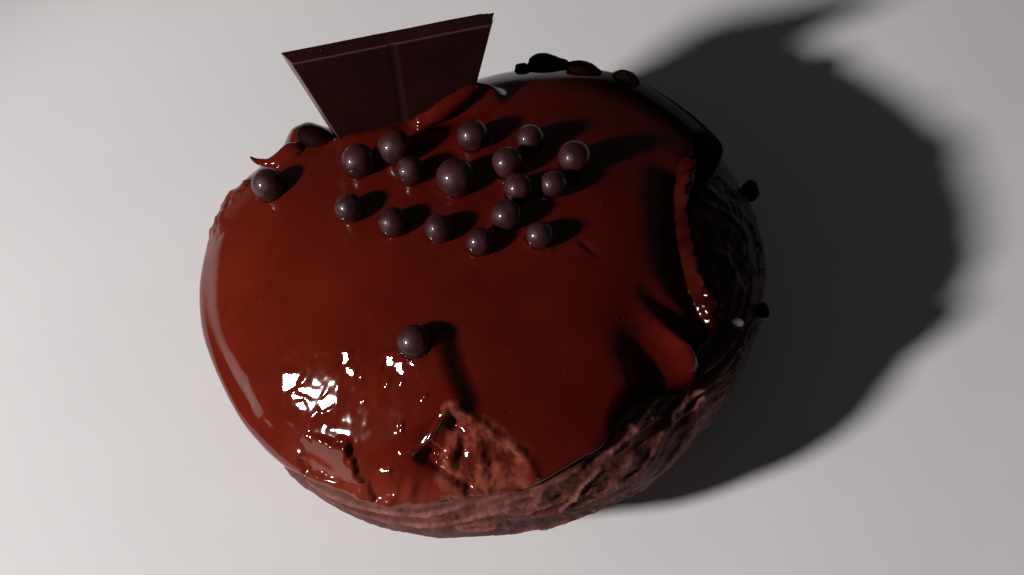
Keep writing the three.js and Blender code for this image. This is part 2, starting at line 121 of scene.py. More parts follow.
# A soft rise in the largest flat: half width, and route as azimuth, polar angle and height.
FLAT_RISE = (0.9, [(228.5, 71.5, 0.1), (231.0, 71.0, 0.14), (233.5, 70.5, 0.1)])
# Falls of the glaze to the right of a route: height of the left side, half width of the fall, reach to the
# left, and route in plan. A negative height makes a hollow that ends in a steep rise.
FALLS = {
    "fall in front of the pearl": (2.1, 2.1, 9.0, [(-1.4, -27.0), (-3.4, -22.6), (-4.6, -19.5), (-5.6, -15.0)]),
    "hollow before the torn lip": (-2.0, 0.45, 3.8, [
        (35.0, -15.0), (32.6, -10.0), (30.7, -5.9), (29.9, -2.4), (29.0, 2.7), (28.9, 7.9), (29.2, 11.0),
        (30.4, 16.4),
    ]),
}
# Shares of a fall's route at which it is at its full height after its start, and begins to fade before its end.
FALL_FULL, FALL_FADE = 0.2, 0.85
# Slow unevenness of the whole glaze: waves per millimetre along x and y, phase and size.
SWELLS = [(0.16, 0.05, 0.4, 0.16), (-0.07, 0.19, 2.1, 0.15), (0.24, -0.21, 4.0, 0.1)]
# Polar angles between which the relief in plan, and that near the rim, dies out.
RELIEF_END = (84.0, 100.0)
RIM_END = (84.0, 95.0)
# Noise that roughens the surfaces: height and size in millimetres, layers and seed.
TEXTURES = {
    "waves of the glaze": (0.12, 9.0, 1, 5),
    "ripples of the glaze": (0.03, 3.4, 1, 6),
    "creases of the leathery skin": (0.30, 4.6, 1, 9),
    "grain of the leathery skin": (0.07, 1.6, 2, 10),
    "crumbs of the broken patch": (0.26, 1.6, 4, 26),
    "lumps of the torn lip": (0.8, 1.1, 3, 18),
    "lumps of the rim at the left back": (0.5, 1.2, 3, 19),
    "swells of the dough": (0.14, 4.0, 3, 15),
    "grain of the dough": (0.10, 1.2, 3, 29),
}

# The standing piece: the middle of its top back edge, its turn and lean, and its sizes. taper is the half
# width it gains for a millimetre of height.
PIECE = dict(
    top_middle=(-14.3, 28.75, 45.0), turn=13.5, lean=10.5, width=32.5, taper=0.266, length=22.0,
    thickness=2.8, face_inset=1.3, groove_width=1.9, groove_floor=0.2, groove_depth=0.13,
)
# Pearls as azimuth and polar angle of the middle, and radius; and the middle's rise as a share of the radius.
PEARLS = [
    (161.5, 51.7, 2.73), (146.5, 34.7, 2.67), (133.5, 33.4, 2.71), (138.5, 23.9, 2.23), (121.0, 16.4, 2.94),
    (99.5, 28.2, 2.48), (71.0, 23.9, 2.17), (79.0, 16.7, 2.37), (61.0, 10.4, 2.27), (41.5, 15.2, 2.05),
    (46.5, 22.9, 2.53), (167.0, 27.9, 2.2), (173.0, 18.2, 2.25), (177.5, 9.4, 2.16), (47.0, 3.9, 2.39),
    (229.5, 3.4, 2.15), (353.0, 9.2, 2.09), (237.5, 28.2, 2.52),
]
PEARL_RISE = 0.62
# Scraps of set glaze: azimuth, polar angle, half sizes, turn in plan and height over the smooth body.
SCRAPS = [
    (76, 71, (3.9, 2.2, 1.9), -8, -0.2), (68, 64, (3.2, 1.7, 1.4), -20, -0.1),
    (58, 66, (2.3, 1.5, 1.4), -32, -0.1), (82.5, 67, (1.6, 1.2, 1.1), 0, -0.1),
    (21.5, 81, (1.4, 1.5, 2.0), 0, -0.2), (353, 81, (0.95, 1.2, 1.0), 0, -0.5),
]
# Drawn-out strips of glaze: points along each, and its half width and half height there.
FLAP = (
    [
        (-28.4, 20.0, 26.0), (-30.2, 18.7, 26.9), (-32.4, 17.8, 26.3),
        (-34.3, 17.5, 25.7), (-36.1, 17.9, 25.8), (-37.0, 18.3, 26.6),
    ],
    [(2.0, 1.3), (2.0, 1.1), (1.3, 0.9), (0.7, 0.6), (0.42, 0.38), (0.2, 0.18)],
)
TONGUE = (
    [(-11.4, 21.7, 30.0), (-9.7, 22.0, 31.0), (-7.0, 23.0, 32.2), (-4.3, 24.6, 33.2), (-1.3, 26.7, 33.6)],
    [(1.1, 1.0), (1.35, 1.2), (1.4, 1.3), (1.3, 1.2), (1.0, 0.9)],
)
# Lump of glaze beside the piece, painted dark as shade: middle, half sizes and turn in plan.
HUMP = ((-26.7, 21.2, 27.2), (3.3, 1.9, 1.7), -24)


# ---------------------------------------------------------------- numbers over whole arrays


def smooth(x, low, high):
    """Zero below low, one above high, and an even ease between them."""
    t = np.clip((x - low) / (high - low), 0, 1)
    return t * t * (3 - 2 * t)


def bell(away, half_width):
    """One on a line, falling off on both sides of it as a bell does."""
    return np.exp(-((away / half_width) ** 2))


NOISE_SIDE = 32
NOISE_TABLE = np.random.default_rng(41).random((NOISE_SIDE, NOISE_SIDE, NOISE_SIDE)) * 2 - 1


def noise(points, size, seed=0):
    """Smooth noise from -1 to 1: random values at the corners of cubes of a given side, eased between them."""
    q = points / size + np.array([7.3, 3.1, 5.7]) * (seed + 1)
    cell = np.floor(q).astype(int)
    t = q - cell
    t = t * t * (3 - 2 * t)
    total = np.zeros(points.shape[:-1])
    for corner in np.ndindex(2, 2, 2):
        weight = np.prod(np.where(corner, t, 1 - t), axis=-1)
        i, j, k = np.moveaxis((cell + corner) % NOISE_SIDE, -1, 0)
        total += weight * NOISE_TABLE[i, j, k]
    return total


def layered_noise(points, size, layers, seed=0):
    """Noise at a size plus half as much at half the size, and so on."""
    return sum(noise(points, size / 2**n, seed + n) / 2**n for n in range(layers))


def texture(points, name):
    """Height that a named noise gives."""
    height, size, layers, seed = TEXTURES[name]
    return height * layered_noise(points, size, layers, seed)


def round_curve(knots, angle):
    """Smooth closed curve through [angle, value] knots: a cubic between neighbours with averaged slopes."""
    turned = np.mod(angle, 360)
    lap = np.array([360.0, 0.0])
    ring = np.concatenate([knots[-2:] - lap, knots, knots[:3] + lap])
    k = np.searchsorted(ring[:, 0], turned, side="right") - 1
    k = np.clip(k, 1, len(ring) - 3)
    before, start, end, after = ring[k - 1], ring[k], ring[k + 1], ring[k + 2]
    span = end[..., 0] - start[..., 0]
    t = (turned - start[..., 0]) / span
    start_slope = (end[..., 1] - before[..., 1]) / (end[..., 0] - before[..., 0]) * span
    end_slope = (after[..., 1] - start[..., 1]) / (after[..., 0] - start[..., 0]) * span
    rise = end[..., 1] - start[..., 1]
    curve = start[..., 1] + start_slope * t + (3 * rise - 2 * start_slope - end_slope) * t**2
    return curve + (start_slope + end_slope - 2 * rise) * t**3


def arc_mask(azimuth, start, end, fade):
    """One inside an arc of azimuths, zero outside, eased over a few degrees at both ends."""
    middle, half = (start + end) / 2, (end - start) / 2
    away = np.abs(np.mod(azimuth - middle + 180, 360) - 180)
    return 1 - smooth(away, half - fade, half + fade)


def near_route(x, y, route):
    """Distance to a route of straight stretches, side of it (1 right, -1 left), height there, and travel."""
    nearest = np.full(np.shape(x), np.inf)
    side, height, travel = np.ones(np.shape(x)), np.zeros(np.shape(x)), np.zeros(np.shape(x))
    lengths = [math.dist(a[:2], b[:2]) for a, b in zip(route, route[1:])]
    passed = 0.0
    for start, end, length in zip(route, route[1:], lengths):
        dx, dy = end[0] - start[0], end[1] - start[1]
        t = np.clip(((x - start[0]) * dx + (y - start[1]) * dy) / length**2, 0, 1)
        away_x, away_y = x - start[0] - t * dx, y - start[1] - t * dy
        distance = np.hypot(away_x, away_y)
        closer = distance < nearest
        nearest = np.where(closer, distance, nearest)
        side = np.where(closer, np.sign(away_x * dy - away_y * dx), side)
        if len(start) > 2:
            height = np.where(closer, start[2] + (end[2] - start[2]) * t, height)
        travel = np.where(closer, (passed + t * length) / sum(lengths), travel)
        passed += length
    return nearest, side, height, travel


# Millimetres over the surface for a degree round the body and for a degree down it, near the rim.
ROUND_SCALE, DOWN_SCALE = 0.66, 0.42


def in_surface_mm(route):
    """Route of azimuths, polar angles and heights as millimetres round and down the body."""
    return [(azimuth * ROUND_SCALE, polar * DOWN_SCALE, height) for azimuth, polar, height in route]


def ridge_heights(x, y, ridges):
    """Heights of ridges, each a half width and a route in the plane of x and y."""
    total = np.zeros(np.shape(x))
    for half_width, route in ridges:
        away, _, height, _ = near_route(x, y, route)
        total += height * bell(away, half_width)
    return total


def ridges_round_body(azimuth, polar, ridges):
    """Heights of ridges whose routes are azimuths, polar angles and heights."""
    along, down = azimuth * ROUND_SCALE, polar * DOWN_SCALE
    return ridge_heights(along, down, [(half_width, in_surface_mm(route)) for half_width, route in ridges])


def fall_heights(x, y):
    """Height at the left of each fall's route, which drops across the route and fades towards its ends."""
    total = np.zeros(x.shape)
    for tall, half_width, reach, route in FALLS.values():
        away, side, _, travel = near_route(x, y, route)
        signed = away * side
        ends = smooth(travel, 0.0, FALL_FULL) * (1 - smooth(travel, FALL_FADE, 1.0))
        drop = 1 - smooth(signed, -half_width, half_width)
        total += tall * ends * bell(np.minimum(signed, 0), reach) * drop
    return total


# ---------------------------------------------------------------- the body's surface


def plan_radius(azimuth):
    """Mean radius plus slow lobes round the body."""
    return BODY["mean_radius"] + sum(
        size * np.cos(waves * np.radians(azimuth - crest)) for waves, size, crest in LOBES
    )


def body_point(azimuth, polar):
    """Smooth body: a power curve of the polar angle gives the reach and the height, clipped flat at the table.
    """
    sine = np.sin(np.radians(polar))
    cosine = np.cos(np.radians(polar))
    reach = plan_radius(azimuth) * np.abs(sine) ** (2 / BODY["plan_power"])
    x = reach * np.cos(np.radians(azimuth))
    y = reach * np.sin(np.radians(azimuth))
    dome = np.maximum(cosine, 0)
    upper = BODY["widest_level"] + (BODY["height"] - BODY["widest_level"]) * dome ** (2 / BODY["dome_power"])
    upper = upper + (BODY["tilt_x"] * x + BODY["tilt_y"] * y) * dome ** BODY["tilt_power"]
    under = np.maximum(-cosine, 0) ** (2 / BODY["under_power"])
    lower = BODY["widest_level"] * (1 - BODY["under_depth"] * under)
    z = np.maximum(np.where(cosine > 0, upper, lower), 0)
    return np.stack([x + BODY["pole_x"], y + BODY["pole_y"], z], axis=-1)


def unit(vectors):
    """Vectors scaled to length one."""
    return vectors / np.linalg.norm(vectors, axis=-1, keepdims=True)


def body_normal(azimuth, polar, step=0.05):
    """Outward normal of the smooth body, from the slopes down and round it."""
    tilted = np.maximum(polar, 1.0)
    down = body_point(azimuth, tilted + step) - body_point(azimuth, tilted - step)
    turn = body_point(azimuth + step, tilted) - body_point(azimuth - step, tilted)
    return unit(np.cross(down, turn))


def raised(azimuth, polar, height):
    """Point at a height over the smooth body."""
    return body_point(azimuth, polar) + body_normal(azimuth, polar) * np.asarray(height)[..., None]


def glaze_edge(azimuth):
    """Polar angle of the glaze's lower edge, ragged where it is torn."""
    turn = np.radians(azimuth)
    around = np.stack([np.cos(turn), np.sin(turn), 0 * azimuth], axis=-1) * RAGGED["radius"]
    ragged = RAGGED["least"] + RAGGED["more"] * arc_mask(azimuth, *RAGGED["arc"])
    return round_curve(GLAZE_EDGE, azimuth) + ragged * layered_noise(around, RAGGED["size"], 4, seed=3)


def edge_thickness(azimuth):
    """Thickness of the glaze at its edge."""
    torn = arc_mask(azimuth, TORN["start"], TORN["end"], TORN["fade"])
    thin = GLAZE["thin_edge"] - FRONT_EDGE["thinner"] * arc_mask(azimuth, *FRONT_EDGE["arc"])
    return thin + (GLAZE["torn_edge"] - thin) * torn


def glaze_thickness(azimuth, polar, edge):
    """Thickness of the glaze, thinner towards its edge where it isn't torn."""
    closeness = smooth(polar, edge - GLAZE["edge_blend"], edge)
    return GLAZE["thickness"] + (edge_thickness(azimuth) - GLAZE["thickness"]) * closeness


# Flats of the skin: azimuth and polar angle, azimuth and tilt of the way each faces, and the two half sides
# of its outline as steps of azimuth and polar angle. The small ones catch the lamp.
FLATS = [
    ((214.5, 55.0), (229.5, 34.0), (2.1, -2.2), (2.1, 2.3)),
    ((218.0, 56.0), (228.8, 33.9), (0.9, -0.9), (0.9, 1.1)),
    ((220.0, 52.7), (228.5, 34.0), (2.8, -1.9), (0.2, 1.5)),
    ((220.8, 57.5), (228.3, 33.6), (0.7, -1.6), (1.1, 0.9)),
    ((225.0, 52.2), (227.5, 34.0), (0.6, -2.4), (1.4, 0.8)),
    ((221.0, 39.7), (228.2, 35.3), (1.6, -1.1), (1.9, 1.8)),
    ((225.0, 41.4), (227.6, 35.1), (1.9, -0.2), (0.7, 1.7)),
    ((228.6, 41.2), (227.2, 35.1), (1.0, -0.3), (0.7, 0.8)),
    ((233.0, 34.2), (226.6, 35.9), (1.7, -0.7), (1.7, 1.9)),
    ((237.2, 34.7), (226.2, 35.8), (2.0, -0.2), (1.4, 1.7)),
    ((232.5, 67.0), (231.0, 58.7), (6.0, -4.2), (3.0, 5.4)),
    ((246.0, 67.0), (246.0, 53.0), (2.2, -3.2), (1.6, 4.0)),
]
# Unevenness and grain of a flat's outline, shares of its half sides at which it starts to fade and ends,
# and the least slope that it is worked out with.
FLAT = dict(uneven=0.2, grain=1.0, fade=0.8, end=1.15, least=0.2)

# Broken patch: its middle line in plan, its half width at both ends, how soft its rim is in the relief and
# in the mask, how uneven and coarse its outline is, and the height, size, slant and stretch of its folds.
BROKEN = dict(
    route=[(-4.5, -26.2), (-2.4, -29.8), (-0.4, -34.0)], narrow=1.5, wide=7.0, soft_rim=0.35, mask_rim=0.15,
    uneven=0.3, grain=1.8, fold_height=0.3, fold_size=2.6, slant=0.25, stretch=3.0,
)
# The leathery skin round the highlights, and thin crusts beside the patch: middle and half sizes in plan.
# Then the height and grain of the crusts, and the noise at which they start and are whole.
LEATHER = dict(middle=(-22.0, -21.5), reach=(13.0, 7.5))
CRUSTS = dict(middle=(-11.5, -26.0), reach=(6.5, 4.5))
CRUST_RISE = dict(height=0.35, size=1.1, start=0.45, full=0.9)
# Upright pleats low at the front left: azimuths, polar angles over which they rise, height, size, and
# scales of the noise round and down the body.
PLEATS = dict(arc=(234, 264, 8), start=56, full=66, height=0.4, size=1.6, across=0.8, down=0.14)
# Reach of the lumps at both rough rims to the sides of their routes, and of the broken look there.
LUMPS_REACH = dict(torn=1.6, rim=2.4)
BROKEN_REACH = dict(torn=0.9, rim=2.2)
# How much of the broken look the torn lip, the left rim and the band below the patch have.
BROKEN_SHARE = dict(torn=0.25, rim=0.75, low_band=0.6)


def plan_patch(x, y, middle, reach, edge=0.35):
    """One inside an ellipse in plan, eased to zero over its rim."""
    return 1 - smooth(np.hypot((x - middle[0]) / reach[0], (y - middle[1]) / reach[1]), 1 - edge, 1 + edge)


def broken_patch(x, y, edge):
    """One inside the broken patch, which widens from its upper end, eased to zero over its rim."""
    away, _, _, travel = near_route(x, y, BROKEN["route"])
    reach = BROKEN["narrow"] + (BROKEN["wide"] - BROKEN["narrow"]) * travel
    uneven = BROKEN["uneven"] * noise(np.stack([x, y, 0 * x], axis=-1), BROKEN["grain"], seed=28)
    return 1 - smooth(away / reach + uneven, 1 - edge, 1 + edge)


def broken_relief(points):
    """Upright folds and crumbs of the broken patch, below the skin."""
    x, y = points[..., 0], points[..., 1]
    streaks = np.stack([x + BROKEN["slant"] * y, y / BROKEN["stretch"], 0 * x], axis=-1)
    folded = 1 - 2 * np.abs(noise(streaks, BROKEN["fold_size"], seed=8))
    return BROKEN["fold_height"] * (folded - 1) + texture(points, "crumbs of the broken patch")


def away_from(points, ridge):
    """Distance in plan to the route of a named ridge, and side of it."""
    away, side, _, _ = near_route(points[..., 0], points[..., 1], RIDGES[ridge][1])
    return away, side


def with_flats(azimuth, polar, height):
    """Turns four-sided bits of the surface into flats: each point goes to a plane through the bit's middle."""
    points, normals = body_point(azimuth, polar), body_normal(azimuth, polar)
    for place, (turn, tilt), first, second in FLATS:
        middle = body_point(*np.float64(place))
        turn, tilt = math.radians(turn), math.radians(tilt)
        facing = np.array([math.sin(tilt) * math.cos(turn), math.sin(tilt) * math.sin(turn), math.cos(tilt)])
        level = height.ravel()[np.argmin(np.linalg.norm(points - middle, axis=-1))]
        inverse = np.linalg.inv(np.array([first, second]).T)
        steps = np.stack([azimuth - place[0], polar - place[1]], axis=-1) @ inverse.T
        reach = np.abs(steps).max(axis=-1) + FLAT["uneven"] * noise(points, FLAT["grain"], seed=24)
        share = 1 - smooth(reach, FLAT["fade"], FLAT["end"])
        lift = level + ((middle - points) @ facing) / np.maximum(normals @ facing, FLAT["least"])
        height = height + share * (lift - height)
    return height


def glaze_relief(azimuth, polar):
    """Height of the glaze over the smooth body.

    Ridges and falls along their routes, slow swells and waves, creases in the leathery skin, folds and crumbs in
    the broken patch, lumps on both rough rims, crusts and pleats, then flats that face a given way.
    """
    points = body_point(azimuth, polar)
    x, y = points[..., 0], points[..., 1]
    total = ridge_heights(x, y, RIDGES.values()) + fall_heights(x, y)
    for wave_x, wave_y, phase, size in SWELLS:
        total += size * np.sin(wave_x * x + wave_y * y + phase)
    total += texture(points, "waves of the glaze") + texture(points, "ripples of the glaze")
    leather = plan_patch(x, y, **LEATHER)
    total -= leather * np.abs(texture(points, "creases of the leathery skin"))
    total += leather * texture(points, "grain of the leathery skin")
    total += broken_patch(x, y, BROKEN["soft_rim"]) * broken_relief(points)
    torn = bell(away_from(points, "torn lip")[0], LUMPS_REACH["torn"])
    total += torn * texture(points, "lumps of the torn lip")
    rim = bell(away_from(points, "rim lip at the left back")[0], LUMPS_REACH["rim"])
    total += rim * texture(points, "lumps of the rim at the left back")
    raised_share = smooth(noise(points, CRUST_RISE["size"], seed=20), CRUST_RISE["start"], CRUST_RISE["full"])
    total += CRUST_RISE["height"] * plan_patch(x, y, **CRUSTS) * raised_share
    pleats = arc_mask(azimuth, *PLEATS["arc"]) * smooth(polar, PLEATS["start"], PLEATS["full"])
    upright = np.stack([azimuth * PLEATS["across"], polar * PLEATS["down"], 0 * polar], axis=-1)
    total += PLEATS["height"] * pleats * noise(upright, PLEATS["size"], seed=22)
    total *= 1 - smooth(polar, *RELIEF_END)
    total += ridges_round_body(azimuth, polar, RIM_RIDGES.values()) * (1 - smooth(polar, *RIM_END))
    return with_flats(azimuth, polar, total) + ridges_round_body(azimuth, polar, [FLAT_RISE])


def broken_mask(azimuth, polar):
    """One where the glaze is broken open or torn, zero where its skin is whole."""
    points = body_point(azimuth, polar)
    patch = broken_patch(points[..., 0], points[..., 1], BROKEN["mask_rim"])
    torn = bell(away_from(points, "torn lip")[0], BROKEN_REACH["torn"]) * arc_mask(azimuth, -20, 40, 6)
    rim = bell(away_from(points, "rim lip at the left back")[0], BROKEN_REACH["rim"])
    low_band = arc_mask(azimuth, 259, 282, 6) * smooth(polar - glaze_edge(azimuth), -5.0, -1.0)
    spread = BROKEN_SHARE["torn"] * torn + BROKEN_SHARE["rim"] * rim + BROKEN_SHARE["low_band"] * low_band
    return np.clip(patch + spread, 0, 1)


# ---------------------------------------------------------------- meshes from grids


def mesh_object(name, points, faces_four, faces_three, masks=None):
    """Object whose mesh holds the points, in millimetres, with quads and triangles given as index arrays."""
    mesh = bpy.data.meshes.new(name)
    loops = np.concatenate([faces_four.ravel(), faces_three.ravel()]).astype(np.int32)
    sides = np.concatenate([np.full(len(faces_four), 4), np.full(len(faces_three), 3)])
    starts = np.concatenate([[0], np.cumsum(sides)[:-1]]).astype(np.int32)
    mesh.vertices.add(len(points))
    mesh.vertices.foreach_set("co", ((points + CENTRING) * MM).astype(np.float32).ravel())
    mesh.loops.add(len(loops))
    mesh.loops.foreach_set("vertex_index", loops)
    mesh.polygons.add(len(sides))
    mesh.polygons.foreach_set("loop_start", starts)
    mesh.polygons.foreach_set("use_smooth", np.ones(len(sides), bool))
    mesh.update(calc_edges=True)
    mesh.validate()
    for mask_name, values in (masks or {}).items():
        attribute = mesh.attributes.new(mask_name, "FLOAT", "POINT")
        attribute.data.foreach_set("value", np.asarray(values, np.float32).ravel())
    made = bpy.data.objects.new(name, mesh)
    bpy.context.scene.collection.objects.link(made)
    return made


def ring_faces(rings, columns):
    """Quads between neighbouring closed rings, and the two fans to the points before and after them."""
    column = np.arange(columns)
    after = (column + 1) % columns
    base = 1 + np.arange(rings)[:, None] * columns
    top, low = base[:-1], base[1:]
    four = np.stack([top + column, low + column, low + after, top + after], axis=-1).reshape(-1, 4)
    last = 1 + rings * columns
    start = np.stack([np.zeros(columns, int), 1 + column, 1 + after], axis=-1)
    low_ring = 1 + (rings - 1) * columns
    end = np.stack([np.full(columns, last), low_ring + after, low_ring + column], axis=-1)
    return four, np.concatenate([start, end])


def closed_skin(name, rings, masks=None):
    """Closed surface from rings of points (ring, column, 3), with a pole in the middle of each end ring."""
    count, columns = rings.shape[:2]
    poles = [rings[0].mean(axis=0), rings[-1].mean(axis=0)]
    points = np.concatenate([poles[:1], rings.reshape(-1, 3), poles[1:]])
    four, three = ring_faces(count, columns)
    spread = {}
    for mask_name, values in (masks or {}).items():
        spread[mask_name] = np.concatenate([[values[0].mean()], values.ravel(), [values[-1].mean()]])
    return mesh_object(name, points, four, three, spread)


def ball_rings(rings, columns):
    """Unit sphere as rings from its upper to its lower pole."""
    polar = np.linspace(0, np.pi, rings + 2)[1:-1, None]
    turn = np.linspace(0, 2 * np.pi, columns, endpoint=False)[None, :]
    flat = np.sin(polar)
    return np.stack([flat * np.cos(turn), flat * np.sin(turn), np.cos(polar) + 0 * turn], axis=-1)


def finish_piece(piece, material, replaced=()):
    """Gives a piece its material and slot, lets it stand for CAD nodes, and sets it on the root body."""
    piece.data.materials.append(material)
    if replaced:
        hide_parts(*replaced)
    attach(piece, "root")


# ---------------------------------------------------------------- node helpers


def add_node(tree, kind, label=None, **settings):
    """New node with its label and its settings."""
    node = tree.nodes.new(kind)
    if label:
        node.label = label
    for key, value in settings.items():
        setattr(node, key, value)
    return node


def set_inputs(node, **values):
    """Sets input sockets by name, with underscores for spaces."""
    for key, value in values.items():
        node.inputs[key.replace("_", " ")].default_value = value
    return node


def join(tree, source, target):
    """Links one socket to another."""
    tree.links.new(source, target)


def new_group(name, inputs, outputs):
    """Shader node group with named inputs, each a kind and a value, and named outputs."""
    tree = bpy.data.node_groups.new(name, "ShaderNodeTree")
    for socket, (kind, value) in inputs.items():
        made = tree.interface.new_socket(name=socket, in_out="INPUT", socket_type=f"NodeSocket{kind}")
        if value is not None:
            made.default_value = value
    for socket, kind in outputs.items():
        tree.interface.new_socket(name=socket, in_out="OUTPUT", socket_type=f"NodeSocket{kind}")
    return tree, tree.nodes.new("NodeGroupInput"), tree.nodes.new("NodeGroupOutput")


def mottle_group():
    """Cloudy mix of two colours, by layered noise of a given scale."""
    inputs = {
        "Vector": ("Vector", None), "Scale": ("Float", 100.0), "Low": ("Float", 0.35), "High": ("Float", 0.65),
        "Dark": ("Color", (0, 0, 0, 1)), "Light": ("Color", (1, 1, 1, 1)),
    }
    tree, start, end = new_group("Mottle", inputs, {"Color": "Color", "Mask": "Float"})
    cloud = add_node(tree, "ShaderNodeTexNoise")
    set_inputs(cloud, Detail=4.0, Roughness=0.6)
    join(tree, start.outputs["Vector"], cloud.inputs["Vector"])
    join(tree, start.outputs["Scale"], cloud.inputs["Scale"])
    ease = add_node(tree, "ShaderNodeMapRange", interpolation_type="SMOOTHSTEP")
    join(tree, cloud.outputs["Fac"], ease.inputs["Value"])
    join(tree, start.outputs["Low"], ease.inputs["From Min"])
    join(tree, start.outputs["High"], ease.inputs["From Max"])
    mix = add_node(tree, "ShaderNodeMix", data_type="RGBA")
    join(tree, ease.outputs["Result"], mix.inputs["Factor"])
    join(tree, start.outputs["Dark"], mix.inputs[6])
    join(tree, start.outputs["Light"], mix.inputs[7])
    join(tree, mix.outputs[2], end.inputs["Color"])
    join(tree, ease.outputs["Result"], end.inputs["Mask"])
    return tree


def speck_group():
    """Scattered round specks: one within a given radius of random points in some cells, zero elsewhere."""
    inputs = {
        "Vector": ("Vector", None), "Scale": ("Float", 600.0), "Radius": ("Float", 0.2),
        "Share": ("Float", 0.4),
    }
    tree, start, end = new_group("Specks", inputs, {"Mask": "Float"})
    cells = add_node(tree, "ShaderNodeTexVoronoi")
    join(tree, start.outputs["Vector"], cells.inputs["Vector"])
    join(tree, start.outputs["Scale"], cells.inputs["Scale"])
    dome = add_node(tree, "ShaderNodeMapRange", interpolation_type="SMOOTHSTEP")
    join(tree, cells.outputs["Distance"], dome.inputs["Value"])
    join(tree, start.outputs["Radius"], dome.inputs["From Max"])
    set_inputs(dome, To_Min=1.0, To_Max=0.0)
    split = add_node(tree, "ShaderNodeSeparateColor")
    join(tree, cells.outputs["Color"], split.inputs["Color"])
    chosen = add_node(tree, "ShaderNodeMath", operation="LESS_THAN")
    join(tree, split.outputs["Red"], chosen.inputs[0])
    join(tree, start.outputs["Share"], chosen.inputs[1])
    both = add_node(tree, "ShaderNodeMath", operation="MULTIPLY")
    join(tree, dome.outputs["Result"], both.inputs[0])
    join(tree, chosen.outputs["Value"], both.inputs[1])
    join(tree, both.outputs["Value"], end.inputs["Mask"])
    return tree


MOTTLE = mottle_group()
SPECKS = speck_group()


def use_group(tree, group, vector, label, **values):
    """Places a node group with its own values, reading the given coordinates."""
    node = add_node(tree, "ShaderNodeGroup", label=label, node_tree=group)
    set_inputs(node, **values)
    join(tree, vector, node.inputs["Vector"])
    return node


def two_tone(tree, place, label, scale, dark, light):
    """Mottle of two colours that change softly into each other."""
    colours = dict(Dark=(*dark, 1), Light=(*light, 1))
    return use_group(tree, MOTTLE, place, label, Scale=scale, Low=0.3, High=0.7, **colours)


def fine_grain(tree, place, label, scale):
    """Even grey mottle, for bumps and roughness."""
    return use_group(tree, MOTTLE, place, label, Scale=scale, Low=0.2, High=0.8)


def start_material(name):
    """Material with a Principled shader, and the object coordinates that its patterns read."""
    material = bpy.data.materials.new(name)
    material.use_nodes = True
    tree = material.node_tree
    shader = tree.nodes["Principled BSDF"]
    place = add_node(tree, "ShaderNodeTexCoord").outputs["Object"]
    return material, tree, shader, place


def bump(tree, height, strength, distance, under=None):
    """Bump node over an optional earlier one. Distance is in metres."""
    node = add_node(tree, "ShaderNodeBump")
    set_inputs(node, Strength=strength, Distance=distance)
    join(tree, height, node.inputs["Height"])
    if under is not None:
        join(tree, under.outputs["Normal"], node.inputs["Normal"])
    return node


def scaled(tree, value, low, high):
    """Maps a mask from 0..1 to low..high."""
    node = add_node(tree, "ShaderNodeMapRange")
    set_inputs(node, To_Min=low, To_Max=high)
    join(tree, value, node.inputs["Value"])
    return node.outputs["Result"]


def mixed(tree, factor, first, second):
    """Colour mix of two sockets or colours by a mask."""
    node = add_node(tree, "ShaderNodeMix", data_type="RGBA")
    join(tree, factor, node.inputs["Factor"])
    for value, index in ((first, 6), (second, 7)):
        if isinstance(value, tuple):
            node.inputs[index].default_value = value
        else:
            join(tree, value, node.inputs[index])
    return node.outputs[2]


def mask_of(tree, name):
    """Mask that the mesh carries on its points."""
    return add_node(tree, "ShaderNodeAttribute", attribute_name=name).outputs["Fac"]


# ---------------------------------------------------------------- materials


def lit_side_mask(tree, place):
    """Mask that rises towards the front left, the side the lamp lights: painted light that makes the glaze
    lighter and more orange there.
    """
    slope = add_node(tree, "ShaderNodeVectorMath", operation="DOT_PRODUCT")
    slope.inputs[1].default_value = (-0.84, -0.32, 0.0)
    join(tree, place, slope.inputs[0])
    ease = add_node(tree, "ShaderNodeMapRange", interpolation_type="SMOOTHSTEP")
    set_inputs(ease, From_Min=0.002, From_Max=0.034)
    join(tree, slope.outputs["Value"], ease.inputs["Value"])
    return ease.outputs["Result"]


